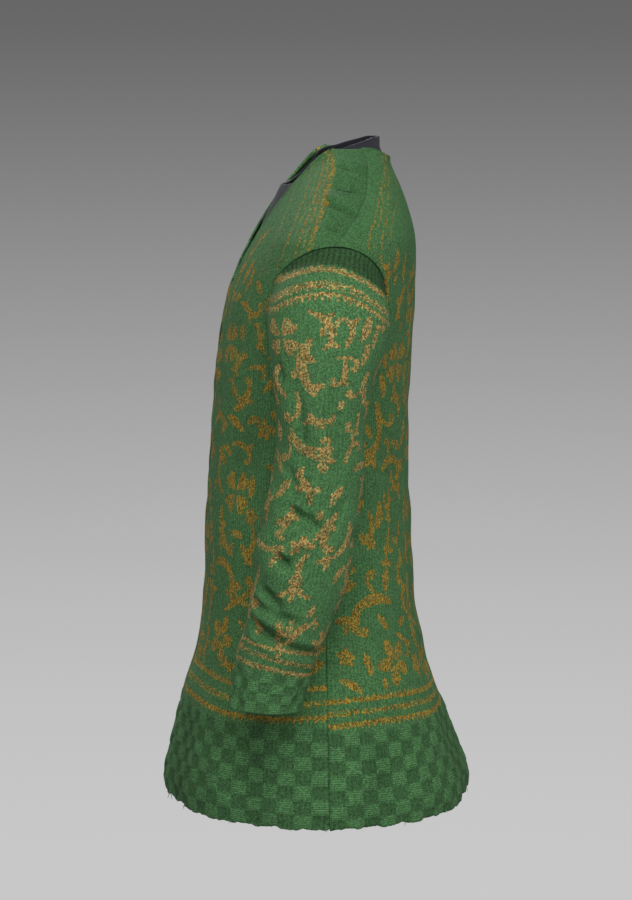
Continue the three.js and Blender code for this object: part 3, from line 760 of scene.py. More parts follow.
def edge_roll(grid_shape, top):
    """How far a piece's edges turn: a low lip at the top and bottom rows and a dip beside each seam, each
    dying away from its edge as a bell curve."""
    rows, columns = grid_shape
    i = np.arange(rows)[:, None]
    j = np.arange(columns)[None, :]
    from_seam = smoothstep(np.minimum(j, columns - 1 - j), 0, 26)
    roll = top * from_seam * np.exp(-((rows - 1 - i) / 1.8) ** 2) + HEM_LIP * np.exp(-(i / 2.0) ** 2)
    return roll + SEAM_DIP * np.exp(-(j / 1.3) ** 2) + SEAM_DIP * np.exp(-((columns - 1 - j) / 1.3) ** 2)


def ragged_hem(height, arc, seed):
    """The worn lower edge: each place of it is moved up by uneven scallops, fading out above the hem."""
    rng = np.random.default_rng(seed)
    scallop = 1.3 - 1.3 * np.cos(2 * math.pi * arc / 31.0 + 0.7)
    for length, size in ((9.0, 0.5), (14.5, 0.8), (47.0, 0.9), (5.2, 0.35)):
        scallop = scallop + size * np.sin(2 * math.pi * arc / length + rng.uniform(0, 6.3))
    return height + 0.6 * np.maximum(scallop, -0.6) * smoothstep(-height, -HEM - 16, -HEM)


def body_points(angle, height, extra):
    """Points of the body's cloth: its form, moved out square to it by the folds and by an extra distance."""
    out = square_to_body(angle, height)
    return form(angle, height) + out * (body_push(angle, height) + extra)[..., None]


def body_cloth(panel, place, pattern, roll, hem_seed, thickness, sizes):
    """Both faces, cloth coordinates and marks of a body panel. Its place is its angles, heights, lengths
    round and lengths up; the pattern is the distance to its ornament; the roll is how its edges turn."""
    angle, height, arc, up = place
    quarter = looked_up(panel["arc"], np.full_like(angle, math.pi / 2), height)
    squares = np.abs(arc) / quarter * round(panel["hem_width"] / sizes["block_width"])
    below = panel["basket_top"] - height
    inside = smoothstep(below, 0, 3)
    raised = basket(squares, below / sizes["block_height"], inside)
    # Painted light and shade of the basket: raised squares a little lighter, sunk squares darker, and darker
    # grooves between them.
    in_squares = SUNK_SHADE * (raised - 0.6 * np.abs(raised)) - EDGE_SHADE * (inside - np.abs(raised))
    u = np.where(height < UNDERARM, arc * panel["base_width"] / quarter, arc)
    swell = waves(arc, height, hem_seed, 0.9, 70) * smoothstep(-height, 60, 160)
    lowered = ragged_hem(height, arc, hem_seed)
    outer = body_points(angle, lowered, raised * sizes["relief"] / 2 + roll + swell)
    inner = body_points(angle[::2, ::2], lowered[::2, ::2], (roll + swell)[::2, ::2] - thickness)
    gu, gv = slopes(pattern, u, up)
    # Painted light and shade for the colour, carried in the finish mark: the basket's and the fold troughs'.
    light = in_squares - in_folds(body_push(angle, height), BODY_FOLD_DEEP)
    marks = {
        "pattern": np.stack([pattern, gu, gv], -1),
        # The finish mark's third part is painted light and shade.
        "finish": np.stack([raised, np.zeros_like(u), light], -1),
    }
    return outer, inner, np.stack([u, up], -1), marks


def shoulder_bands(arc, height, lines, along):
    """The speckled bands that follow the shoulder from neck to armhole, by their distance round the body."""
    made = np.full(arc.shape, FAR)
    for heights, angles, half in lines:
        middle = looked_up(along, np.radians(smooth_curve(heights, angles)(height)), height)
        band = speckled(np.abs(arc) - middle - 0.8 * np.sin(height / 2.1), half)
        made = np.minimum(made, np.maximum(band, heights[0] - height))
    return made


# Each band: heights, angles round the body at them, and half its width.
FRONT_SHOULDER = [
    ((-97, -88, -65, -45, -22, -3), (71, 71, 74, 75, 76, 66), 3.0),
    ((-101, -80, -58, -35, -14, -3), (66, 66, 68, 68.5, 66, 59), 1.1),
    ((-104, -80, -58, -35, -14, -3), (61.5, 62, 63.5, 63.5, 59, 52), 2.0),
    ((-110, -88, -64, -40, -18, -3), (57, 57, 58, 58, 51, 45), 0.9),
    ((-118, -97, -70, -47, -23, -3), (52, 52, 52, 52, 43, 37), 2.2),
    ((-126, -104, -77, -53, -27, -3), (46.5, 46.5, 46, 45, 36, 31), 0.9),
    ((-134, -112, -84, -59, -32, -3), (41, 41, 40, 38, 30, 25), 1.8),
    ((-140, -120, -92, -66, -38, -3), (35, 35, 33, 30, 23, 20), 1.0),
]
BACK_SHOULDER = [
    ((-97, -88, -64, -43, -20, 0), (111, 111, 118, 125, 140, 146), 1.8),
    ((-104, -88, -64, -43, -20, 0), (115, 115, 122, 129, 143, 149), 0.9),
    ((-112, -88, -64, -43, -20, 0), (119, 120, 127, 134, 147, 153), 1.8),
    ((-124, -98, -78, -58, -39, -18), (125, 125, 128, 138, 152, 161), 1.3),
]


# For a front and for the back: the heights of the hem's three bands, how far and over what length they
# sway, where the squares start, the width at the hem and below the armholes, the shoulder's bands, and the
# table of lengths round the body.
PANELS = {
    "front": {"bands": (-531, -545, -559), "sway": 2.5, "sway_length": 37, "basket_top": -568.0,
              "hem_width": 287, "base_width": 220.0, "shoulder": FRONT_SHOULDER, "arc": ARC_FRONT},
    "back": {"bands": (-545, -556, -567), "sway": 3.0, "sway_length": 41, "basket_top": -573.0,
             "hem_width": 284, "base_width": 216.0, "shoulder": BACK_SHOULDER, "arc": ARC_BACK},
}


def with_bands(panel, motif, height, arc):
    """Distance to a panel's ornament: the least of those to its motifs, to the three bands above the hem,
    which sway by a sine of the distance round, and to the shoulder's bands."""
    swayed = height - panel["sway"] * np.sin(arc / panel["sway_length"])
    hem = three_bands(swayed, arc, *panel["bands"], BAND_TEETH)
    return np.minimum(np.minimum(motif, hem), shoulder_bands(arc, height, panel["shoulder"], panel["arc"]))


def front_pattern(height, arc, seed, wander):
    """Distance to a front's ornament, the same rows on either hand but a little uneven where asked."""
    strokes = placed(FRONT_MOTIFS, FRONT_FIELD, seed, wander)
    arc = np.abs(arc)
    return with_bands(PANELS["front"], distance_to(strokes, arc, height), height, arc)


def back_pattern(height, arc, seed, wander):
    """Distance to the back's ornament: the left half's rows as they stand, and turned over for the right."""
    left = placed(BACK_MOTIFS, BACK_FIELD, 0, 0)
    right = placed(BACK_MOTIFS, BACK_FIELD, seed, wander)
    motif = np.minimum(distance_to(left, arc, height), distance_to(right, -arc, height))
    return with_bands(PANELS["back"], motif, height, arc)


def front_cloth(hand, thickness, sizes):
    """A front from the centre line or neck out to the side seam, armhole and shoulder seam."""
    heights, turns = body_rows(BODY_GRIDS["front"], FRONT_TOP)
    first = angle_at_x(neck_half(heights) + SEAM / 2, heights)
    edge = outer_edge(heights, turns, True)
    part = np.linspace(0, 1, BODY_GRIDS["front"]["columns"])[::hand]
    angle = hand * (first[:, None] + (edge - first)[:, None] * part[None, :])
    height = np.repeat(heights[:, None], len(part), 1)
    arc = hand * looked_up(ARC_FRONT, angle, height)
    up = looked_up(UP_FRONT, angle, height)
    from_edge = np.arange(angle.shape[1])[None, ::hand]
    lip = NECK_LIP * np.exp(-(from_edge / 2.2) ** 2) * smoothstep(height, -150, -70)
    roll = edge_roll(angle.shape, 0.0) + lip
    pattern = front_pattern(height, arc, 21 if hand > 0 else 22, 0.0 if hand > 0 else 1.6)
    return body_cloth(PANELS["front"], (angle, height, arc, up), pattern, roll, 5 + hand, thickness, sizes)


def back_cloth(thickness, sizes):
    """The back from one side seam round to the other, its upper rows dipping toward the neck's middle."""
    heights, turns = body_rows(BODY_GRIDS["back"], 0)
    first = outer_edge(heights, turns, False)[:, None]
    part = np.linspace(0, 1, BODY_GRIDS["back"]["columns"])[None, :]
    angle = first + (2 * math.pi - 2 * first) * part
    toward = np.clip((np.cos(first) - np.cos(angle)) / (1 + np.cos(first)), 0, 1)
    dip = smoothstep(heights[:, None], SHOULDER_TIP, 0) * toward ** 1.5
    height = heights[:, None] - NECK_BACK_DROP * dip
    from_side = np.minimum(angle, 2 * math.pi - angle)
    arc = np.sign(angle - math.pi) * looked_up(ARC_BACK, from_side, height)
    up = looked_up(UP_BACK, from_side, height)
    roll = edge_roll(angle.shape, BACK_NECK_LIP)
    pattern = back_pattern(height, arc, 31, 1.8)
    return body_cloth(PANELS["back"], (angle, height, arc, up), pattern, roll, 9, thickness, sizes)


def sleeve_form(degrees, levels):
    """The left sleeve: smooth curves run from points round the armhole through the rings of its table,
    each ring a squared oval set by its inner and outer lines and leaning forward."""
    _, _, point, out = armhole(degrees)
    middle = form(np.array(math.pi / 2), np.array(SLEEVE_START))
    inward = middle - point
    inward = unit(inward - out * (inward * out).sum(-1, keepdims=True))
    start = point + inward * SEAM
    c = np.cos(np.radians(degrees))
    s = np.sin(np.radians(degrees))
    c = np.sign(c) * np.abs(c) ** (2 / SLEEVE_SQUARE)
    s = np.sign(s) * np.abs(s) ** (2 / SLEEVE_SQUARE)
    row = {name: values[:, None] for name, values in SLEEVE.items()}
    lean = np.radians(row["lean"])
    x = (row["x_in"] + row["x_out"]) / 2 + (row["x_out"] - row["x_in"]) / 2 * c
    y = row["middle"] - row["half"] * np.cos(lean) * s
    z = (row["z_in"] + row["z_out"]) / 2 + (row["z_out"] - row["z_in"]) / 2 * c
    z = z + row["half"] * np.sin(lean) * s
    rings = np.concatenate([(start + out)[None], np.stack([x, y, z], -1)])
    at = np.concatenate([[SLEEVE_START], SLEEVE["at"]])
    lines = smooth_curve(-at, rings.reshape(len(at), -1))
    return lines(-levels).reshape(len(levels), len(degrees), 3), start, out


def sleeve_bands(grid, across, at):
    """Three bands round the sleeve's top, which rise over its outer face, and three at the wrist."""
    rise = grid[..., 2] + 20 * ((grid[..., 1] + 33) / 52) ** 2
    outside = (np.abs(across) - 90 * SLEEVE_MM_PER_DEGREE) * 0.5
    top = toothed(rise + 112, across, 2.0, 3.6, 6.6)
    top = np.minimum(top, toothed(-134 - rise, across, 1.5, 5.4, 4.6))
    top = np.minimum(top, speckled(rise + 125.5, 4.0))
    wrist = toothed(at + 478 - 1.5 * np.sin(across / 23), across, 1.3, 1.6, 6.0)
    wrist = np.minimum(wrist, speckled(at + 487.5, 2.4))
    wrist = np.minimum(wrist, toothed(-497 - at, across, 1.6, 2.6, 8.1))
    return np.minimum(np.maximum(top, outside), wrist), rise


def turned_over(values):
    """The columns of a tube the other way round, starting from the same one."""
    return np.roll(values[:, ::-1], 1, 1)


def sleeve_cloth(hand, thickness, sizes):
    """A sleeve as a tube with its folds, ornament, ribbed top and basket cuff."""
    degrees = np.linspace(-180, 180, SLEEVE_COLUMNS, endpoint=False)
    levels = np.concatenate([
        np.linspace(SLEEVE_START, UNDERARM, SLEEVE_TOP_ROWS, endpoint=False),
        np.linspace(UNDERARM, CUFF, SLEEVE_LOW_ROWS),
    ])
    smooth, start, out = sleeve_form(degrees, levels)
    across = np.repeat((-degrees * SLEEVE_MM_PER_DEGREE)[None, :], len(levels), 0)
    at = np.repeat(levels[:, None], len(degrees), 1)
    strokes = placed(SLEEVE_MOTIFS, SLEEVE_FIELD, 41 - hand, 0.0 if hand > 0 else 1.5)
    bands, rise = sleeve_bands(smooth, across, at)
    pattern = distance_to(strokes, across, smooth[..., 2])
    pattern = np.where((rise > -140) & (np.abs(across) < RIBBED_HALF), FAR, pattern)
    pattern = np.minimum(pattern, bands)
    squares = 2 * round(CUFF_ROUND / (sizes["block_width"] * CUFF_SQUARE) / 2)
    below = CUFF_BASKET_TOP - at
    inside = smoothstep(below + 0.5, 0, 2.5)
    raised = basket((degrees[None, :] + 180) / 360 * squares, below / CUFF_SQUARE_HEIGHT, inside)
    rib = smoothstep(rise, RIBBED_LOW, RIBBED_LOW + 3) * (np.abs(across) < RIBBED_HALF)
    ribs = RIB_HEIGHT * np.cos(2 * math.pi * across / RIB_WIDTH) * rib
    swell = waves(across, at, 50 + hand, 0.8, 46) * smoothstep(-at, 180, 230)
    square = square_to_grid(smooth, True)
    push = FOLD_STRENGTH * folded(SLEEVE_FOLDS[hand], SLEEVE_RADIUS, at, degrees[None] + 0 * at)
    steady = smoothstep(-at, -SLEEVE_START, -SLEEVE_START + 12)
    cuff_edge = 0.5 * np.exp(-((at - CUFF) / 2.2) ** 2) - 2.6 * np.exp(-((at - SLEEVE_START + 3) / 5) ** 2)
    even = (push + swell) * steady + cuff_edge
    outer = smooth + square * (even + raised * sizes["relief"] * 0.4 + ribs * steady)[..., None]
    calm = smooth + square * even[..., None]
    inner = (calm - square_to_grid(calm, True) * thickness)[::2, ::2]
    inner[0] = (start - out * thickness)[::2]
    climb = np.linalg.norm(np.diff(smooth, axis=0), axis=-1)
    up = np.concatenate([np.cumsum(climb[::-1], 0)[::-1], np.zeros((1, len(degrees)))])
    gu, gv = slopes(pattern, across, up, True)
    # Painted shade: darker in the fold troughs and in the grooves between the cuff's squares.
    light = -in_folds(push, SLEEVE_FOLD_DEEP) - EDGE_SHADE * (inside - np.abs(raised))
    marks = {
        "pattern": np.stack([pattern, gu, gv], -1),
        # The finish mark's third part is painted shade.
        "finish": np.stack([raised, rib, light], -1),
    }
    cloth = np.stack([across, up], -1)
    last = cloth[:, :1] - np.array([360 * SLEEVE_MM_PER_DEGREE, 0])
    cloth = np.concatenate([cloth, last], 1)
    if hand < 0:
        flip = np.array([-1.0, 1.0, 1.0])
        outer = turned_over(outer * flip)
        inner = turned_over(inner * flip)
        marks = {name: turned_over(values) for name, values in marks.items()}
        first = turned_over(cloth[:, :-1])
        first[:, 0] = cloth[:, -1]
        cloth = np.concatenate([first, cloth[:, :1]], 1)
    return outer, inner, cloth, marks


def lining_cloth(thickness):
    """The lining: a ring that stands in the neck and runs down behind the open fronts, blended from an
    oval collar at its top edge into the body's form below."""
    degrees = np.linspace(-180, 180, LINING_COLUMNS, endpoint=False)
    part = np.linspace(1, 0, LINING_ROWS)[:, None] ** 1.3
    angle = np.radians(degrees)[None, :]
    top = lining_top(np.abs(degrees))[None, :]
    height = top + (lining_low(np.abs(degrees))[None, :] - top) * part
    angle = angle + 0 * height
    under = form(angle, height)
    open_part = np.minimum(1, np.abs(under[..., 0]) / np.maximum(1, neck_half(height)))
    swell = np.where(np.abs(degrees) < 40, lining_swell(height) * (1 - open_part ** 2) ** 2, 0)
    under = under + square_to_body(angle, height) * (swell - LINING_RING["depth"])[..., None]
    c = np.cos(angle)
    forward = LINING_RING["half_depth"] * c
    ring = np.stack([LINING_RING["half_width"] * np.sin(angle), LINING_RING["middle"] - forward, height], -1)
    standing = 1 - smoothstep(top - height, 0, LINING_RING["blend"])
    standing = standing * smoothstep(np.abs(degrees)[None, :], LINING_RING["from"], LINING_RING["full"])
    smooth = under + (ring - under) * standing[..., None]
    around = degrees[None, :] * LINING_MM_PER_DEGREE
    crease = waves(around, height, 77, 0.5, 40) * smoothstep(top - height, 2, 12)
    outer = smooth + square_to_grid(smooth, True) * crease[..., None]
    fold_edge = 0.7 * np.exp(-((top - height) / 1.6) ** 2)
    inner_full = outer - square_to_grid(outer, True) * (thickness + fold_edge)[..., None]
    # Painted highlight: the third part brightens the lining over its last 14 mm below the top edge.
    marks = {"finish": np.stack([0 * height, 0 * height, smoothstep(height - top, -14, 0)], -1)}
    cloth = np.stack([around + 0 * height, height], -1)
    last = cloth[:, :1] + np.array([360 * LINING_MM_PER_DEGREE, 0])
    return outer, inner_full[::2, ::2], np.concatenate([cloth, last], 1), marks


# ---------------------------------------------------------------- meshes


def grid_places(rows, columns):
    """The row and the column of every place of a grid, row by row."""
    return [a.ravel() for a in np.meshgrid(np.arange(rows), np.arange(columns), indexing="ij")]


def cloth_faces(rows, columns, wrap, extra):
    """Faces of a cloth whose inner face has every second row and column of its outer one: four-sided
    faces on both, and a rim of three triangles for each two outer edges. extra is 1 for a tube's
    cloth coordinates, which have one more column than its points."""
    wide = columns + extra
    in_rows = (rows + 1) // 2
    in_columns = columns // 2 if wrap else (columns + 1) // 2
    in_wide = in_columns + extra
    base = rows * wide

    def outer(i, j):
        return i * wide + j % wide

    def inner(i, j):
        return base + i * in_wide + j % in_wide

    i, j = grid_places(rows - 1, columns - (not wrap))
    quads = [np.stack([outer(i, j), outer(i, j + 1), outer(i + 1, j + 1), outer(i + 1, j)], 1)]
    i, j = grid_places(in_rows - 1, in_columns - (not wrap))
    quads.append(np.stack([inner(i, j), inner(i + 1, j), inner(i + 1, j + 1), inner(i, j + 1)], 1))
    tris = []

    def rim(outside, inside, forward):
        o0, o1, o2 = outside
        i0, i1 = inside
        corners = [(o1, o0, i0), (o1, i0, i1), (o2, o1, i1)]
        if forward:
            corners = [(o0, o1, i0), (o1, i1, i0), (o1, o2, i1)]
        tris.extend(np.stack(three, 1) for three in corners)

    k = np.arange(in_columns - (not wrap))
    for row, in_row, forward in ((0, 0, False), (rows - 1, in_rows - 1, True)):
        rim([outer(row, 2 * k + n) for n in range(3)], [inner(in_row, k + n) for n in range(2)], forward)
    if not wrap:
        k = np.arange(in_rows - 1)
        for col, in_col, forward in ((0, 0, True), (columns - 1, in_columns - 1, False)):
            rim([outer(2 * k + n, col) for n in range(3)], [inner(k + n, in_col) for n in range(2)], forward)
    return np.concatenate(quads), np.concatenate(tris)


def new_mesh(name, points, quads, tris):
    """A smooth mesh object from arrays of points in millimetres and of faces."""
    mesh = bpy.data.meshes.new(name)
    corners = np.concatenate([quads.ravel(), tris.ravel()]).astype(np.int32)
    starts = np.concatenate([np.arange(len(quads)) * 4, quads.size + np.arange(len(tris)) * 3])
    mesh.vertices.add(len(points))
    mesh.vertices.foreach_set("co", (points * MM).astype(np.float32).ravel())
    mesh.loops.add(len(corners))
    mesh.loops.foreach_set("vertex_index", corners)
    mesh.polygons.add(len(starts))
    mesh.polygons.foreach_set("loop_start", starts.astype(np.int32))
    mesh.update(calc_edges=True)
    mesh.validate()
    mesh.polygons.foreach_set("use_smooth", np.ones(len(starts), bool))
    piece = bpy.data.objects.new(name, mesh)
    bpy.context.scene.collection.objects.link(piece)
    return piece


def add_cloth(name, parts, wrap, material):
    """A cloth piece from its two faces, cloth coordinates and marks."""
    outer, inner, cloth, marks = parts
    rows, columns = outer.shape[:2]
    points = np.concatenate([outer.reshape(-1, 3), inner.reshape(-1, 3)])
    quads, tris = cloth_faces(rows, columns, wrap, 0)
    piece = new_mesh(name, points, quads, tris)
    mesh = piece.data
    flat = np.concatenate([cloth.reshape(-1, 2), cloth[::2, ::2].reshape(-1, 2)]) * MM
    uv_quads, uv_tris = cloth_faces(rows, columns, wrap, 1 if wrap else 0)
    corners = np.concatenate([uv_quads.ravel(), uv_tris.ravel()])
    layer = mesh.uv_layers.new(name="cloth")
    layer.data.foreach_set("uv", flat[corners].astype(np.float32).ravel())
    for mark, values in marks.items():
        both = np.concatenate([values.reshape(-1, 3), values[::2, ::2].reshape(-1, 3)])
        made = mesh.attributes.new(mark, "FLOAT_VECTOR", "POINT")
        made.data.foreach_set("vector", both.astype(np.float32).ravel())
    mesh.materials.append(material)
    return piece


# ---------------------------------------------------------------- shader maths


class Value:
    """A number in a shader, with Python's operators: each adds its Math node."""

    def __init__(self, shader, socket):
        self.shader = shader
        self.socket = socket

    def maths(self, operation, *others):
        made = self.shader.node("ShaderNodeMath", {"operation": operation},
                                {k: other for k, other in enumerate((self, *others))})
        return Value(self.shader, made.outputs[0])

    def reflected(self, operation, other):
        made = self.shader.node("ShaderNodeMath", {"operation": operation}, {0: other, 1: self})
        return Value(self.shader, made.outputs[0])

    def __add__(self, other):
        return self.maths("ADD", other)

    def __sub__(self, other):
        return self.maths("SUBTRACT", other)

    def __mul__(self, other):
        return self.maths("MULTIPLY", other)

    def __truediv__(self, other):
        return self.maths("DIVIDE", other)

    def __lt__(self, other):
        return self.maths("LESS_THAN", other)

    def __gt__(self, other):
        return self.maths("GREATER_THAN", other)

    def __rsub__(self, other):
        return self.reflected("SUBTRACT", other)

    def __rtruediv__(self, other):
        return self.reflected("DIVIDE", other)

    __radd__ = __add__
    __rmul__ = __mul__

    def __abs__(self):
        return self.maths("ABSOLUTE")

    def floor(self):
        return self.maths("FLOOR")

    def sine(self):
        return self.maths("SINE")

    def held(self):
        """The value kept from 0 to 1."""
        return self.maths("MAXIMUM", 0.0).maths("MINIMUM", 1.0)


class Shader:
    """A new material's nodes."""

    def __init__(self, name):
        self.material = bpy.data.materials.new(name)
        self.material.use_nodes = True
        self.tree = self.material.node_tree
        self.surface = self.tree.nodes["Principled BSDF"]

    def set_input(self, node, key, value):
        """Joins a node's input to a socket, or sets it to a plain value."""
        target = node.inputs[key]
        source = value.socket if isinstance(value, Value) else value
        if isinstance(source, bpy.types.NodeSocket):
            self.tree.links.new(source, target)
        else:
            target.default_value = source

    def node(self, kind, settings=None, inputs=None):
        """Adds a node of a type with its settings, then its inputs' values or links."""
        made = self.tree.nodes.new(kind)
        for name, value in (settings or {}).items():
            setattr(made, name, value)
        for key, value in (inputs or {}).items():
            self.set_input(made, key, value)
        return made

    def mix(self, factor, a, b, blend="MIX"):
        """A colour between a and b."""
        made = self.node("ShaderNodeMix", {"data_type": "RGBA", "blend_type": blend}, {0: factor, 6: a, 7: b})
        return made.outputs[2]

    def parts(self, socket):
        """The three parts of a vector."""
        split = self.node("ShaderNodeSeparateXYZ", None, {0: socket})
        return [Value(self, out) for out in split.outputs]

    def random(self, *numbers):
        """An even random number for each whole-numbered pair."""
        pair = self.node("ShaderNodeCombineXYZ", None, dict(enumerate(numbers)))
        made = self.node("ShaderNodeTexWhiteNoise", {"noise_dimensions": "3D"}, {"Vector": pair.outputs[0]})
        return Value(self, made.outputs["Value"])

    def mark(self, name):
        """The three parts of a mark that the mesh carries."""
        return self.parts(self.node("ShaderNodeAttribute", {"attribute_name": name}).outputs["Vector"])

    def cloth_place(self):
        """The place across and along the flat cloth, in metres."""
        return self.parts(self.node("ShaderNodeUVMap", {"uv_map": "cloth"}).outputs[0])[:2]

    def noise(self, vector, scale, detail=2.0):
        """Cloudy unevenness, about 0.5 in the middle."""
        made = self.node("ShaderNodeTexNoise", None, {"Vector": vector, "Scale": scale, "Detail": detail})
        return Value(self, made.outputs["Fac"])

    def finish(self, colour, height, distance, roughness):
        """Joins a colour and a height to the surface."""
        bump = self.node("ShaderNodeBump", None, {"Height": height, "Distance": distance, "Strength": 1.0})
        self.set_input(self.surface, "Base Color", colour)
        self.set_input(self.surface, "Normal", bump.outputs["Normal"])
        self.set_input(self.surface, "Roughness", roughness)
        return self.material


def shade(colour, by):
    """A colour made lighter or darker, in Python."""
    return (*(min(1.0, part * by) for part in colour[:3]), 1.0)


def knit_material(name, colours, sizes, gold):
    """Two-colour knitting. Each stitch is wholly green or wholly gold, by the ornament's distance at the
    stitch's middle, and its two legs stand as a V. Raised squares of the basket show ridges that lie
    across, sunk squares show upright stitches, and the sleeve's top is ribbed."""
    sh = Shader(name)
    u, v = sh.cloth_place()
    wale = u / sizes.stitch_width
    course = v / sizes.stitch_height
    col = wale.floor()
    row = course.floor()
    pattern = sh.mark("pattern")
    # The finish mark's third part is painted light and shade, which darkens or lightens the colour.
    raised, rib, light = sh.mark("finish")
    across = wale - col - 0.5
    middle = pattern[0] - pattern[1] * across * (sizes.stitch_width / MM)
    middle = middle - pattern[2] * (course - row - 0.5) * (sizes.stitch_height / MM)
    first = sh.random(col, row, 1.0)
    second = sh.random(col, row, 2.0)
    third = sh.random(col, row, 3.0)
    middle = middle.maths("MAXIMUM", -0.4 * sizes.ornament_unevenness)
    is_gold = (middle + (first - 0.5) * sizes.ornament_unevenness) < 0.0
    side = abs(across) * 2.0
    leg = (side * math.pi).sine()
    bead = abs(((course + side * 0.55) * math.pi).sine())
    vee = (leg * 0.7 + 0.3) * (bead * 0.65 + 0.35) * 1.08
    ridge = abs((course * (math.pi * 0.62)).sine()) * 0.4 + 0.27
    is_raised = (raised * 1.4).held()
    is_sunk = (raised * -1.4).held()
    ribbing = abs((wale * (math.pi / 2)).sine())
    vee = vee * (0.84 + ribbing * 0.25)
    knit = vee * (1.0 - is_raised) + ridge * is_raised
    knit = knit * (1.0 - rib * 0.35) + ribbing * rib * 0.35
    place = sh.node("ShaderNodeTexCoord").outputs["Object"]
    fibre = sh.noise(place, 1500.0, 3.0)
    worn = sh.noise(place, 14.0, 3.0)
    fine = sh.noise(place, 620.0, 2.0)
    leg_tone = sh.random((wale * 2.0).floor(), row, 4.0)
    tone = second * 0.1 + leg_tone * 0.9
    green = sh.mix(tone, shade(colours.green, 0.55), shade(colours.green, 1.45))
    # Partly painted highlight: pale flecks that stand in for glints on the fibres' tips, as well as random
    # pale stitches.
    green = sh.mix((third > 0.9) * 0.1, green, tuple(colours.speckle))
    gold_tone = sh.mix(tone, shade(gold, 0.15), shade(gold, 1.9))
    gold_tone = sh.mix((third > 0.8) * 0.5, gold_tone, tuple(colours.ochre))
    gold_tone = sh.mix((third < 0.1) * 0.4, gold_tone, tuple(colours.green))
    colour = sh.mix(is_gold, green, gold_tone)
    # Painted light and shade in the colour: darker grooves between stitch legs, courses and ribs, darker sunk
    # squares, and the finish mark's painted light and shade. The ribbed strip is darker as a whole; wear and
    # fibre noise vary the tone at random.
    depth = 0.12 + knit * 1.3 + (fibre - 0.5) * 0.5
    depth = depth * (1.0 + light * 0.3) * (0.8 - abs(raised).held() * 0.07) * (1.0 - is_sunk * 0.1)
    depth = depth * (1.0 - rib * 0.58) * (0.85 + worn * 0.3) * (0.93 + fine * 0.14)
    grey = sh.node("ShaderNodeCombineColor", None, {0: depth, 1: depth, 2: depth}).outputs[0]
    colour = sh.mix(1.0, colour, grey, "MULTIPLY")
    sh.surface.inputs["Specular IOR Level"].default_value = 0.12
    height = knit * 0.75 + fibre * 0.25 + is_gold * 0.08
    return sh.finish(colour, height, sizes.stitch_depth, 0.78 + (fibre - 0.5) * 0.2)


LINING_THREAD = 0.00055
YARN_TWIST = 0.0011


def lining_material(colours):
    """Dark plain weave: two sets of threads that pass over and under each other, with slubs."""
    sh = Shader("dark_plain_weave")
    u, v = sh.cloth_place()
    light = sh.mark("finish")[2]
    place = sh.node("ShaderNodeTexCoord").outputs["Object"]
    slub = sh.noise(place, 420.0, 3.0)
    warp = u / LINING_THREAD + slub * 0.4
    weft = v / LINING_THREAD + slub * 0.4
    over = (warp * math.pi).sine() * (weft * math.pi).sine()
    thread = over * 0.5 + 0.5
    patch = sh.noise(place, 22.0, 3.0)
    woven = thread * 0.6 + slub * 0.4
    colour = sh.mix(woven.held(), shade(colours.lining, 0.6), shade(colours.lining, 1.35))
    # Painted highlight near the top edge, from the finish mark, mixed with lighter random patches.
    colour = sh.mix((patch * 0.5 + light * 0.15).held(), colour, shade(colours.lining, 1.5))
    sh.surface.inputs["Sheen Weight"].default_value = 0.04
    sh.surface.inputs["Specular IOR Level"].default_value = 0.15
    return sh.finish(colour, woven, 0.0003, 0.7 + (patch - 0.5) * 0.2)


def yarn_material(colours):
    """Loose yarn: twisted strands seen as slanting bands along the thread."""
    sh = Shader("green_yarn")
    place = sh.node("ShaderNodeTexCoord").outputs["Object"]
    x, y, z = sh.parts(place)
    twist = abs(((x + y + z) * (math.pi / YARN_TWIST)).sine())
    fuzz = sh.noise(place, 1800.0, 3.0)
    tone = (twist * 0.6 + fuzz * 0.4).held()
    colour = sh.mix(tone, shade(colours.green, 0.5), shade(colours.green, 1.2))
    return sh.finish(colour, tone, 0.0002, 0.8 + (fuzz - 0.5) * 0.2)


def linear(red, green, blue):
    """A colour from its screen values, 0 to 255, as light."""
    parts = np.array([red, green, blue]) / 255
    light = np.where(parts <= 0.04045, parts / 12.92, ((parts + 0.055) / 1.055) ** 2.4)
    return tuple(float(part) for part in light)


# ---------------------------------------------------------------- add-on


def length_setting(name, description, default):
    """A setting that is a length, in metres."""
    return bpy.props.FloatProperty(name=name, description=description, default=default, unit="LENGTH")


def colour_setting(name, description, red, green, blue):
    """A setting that is a colour, from its screen values."""
    return bpy.props.FloatVectorProperty(name=name, description=description, size=4, subtype="COLOR", min=0,
                                         max=1, default=(*linear(red, green, blue), 1))


class JacketSizes(bpy.types.PropertyGroup):
    """Sizes of the cloth, its stitches and its squares"""

    cloth: length_setting("Knitting", "Thickness of the knitted cloth", 0.002)
    lining: length_setting("Lining", "Thickness of the woven lining", 0.0014)
    stitch_width: length_setting("Stitch width", "Width of one stitch", 0.0018)
    stitch_height: length_setting("Stitch height", "Height of one course", 0.00135)
    stitch_depth: length_setting("Stitch depth", "How far the stitches stand out", 0.0009)
    ornament_unevenness: bpy.props.FloatProperty(
        name="Ornament unevenness", description="How far the gold stitches stray, in millimetres",
        default=0.6)
    block_width: length_setting("Block width", "Width of a square of the basket stitch", 0.018)
    block_height: length_setting("Block height", "Height of a square of the basket stitch", 0.0142)
    relief: length_setting("Block relief", "How far raised squares stand above sunk ones", 0.0016)


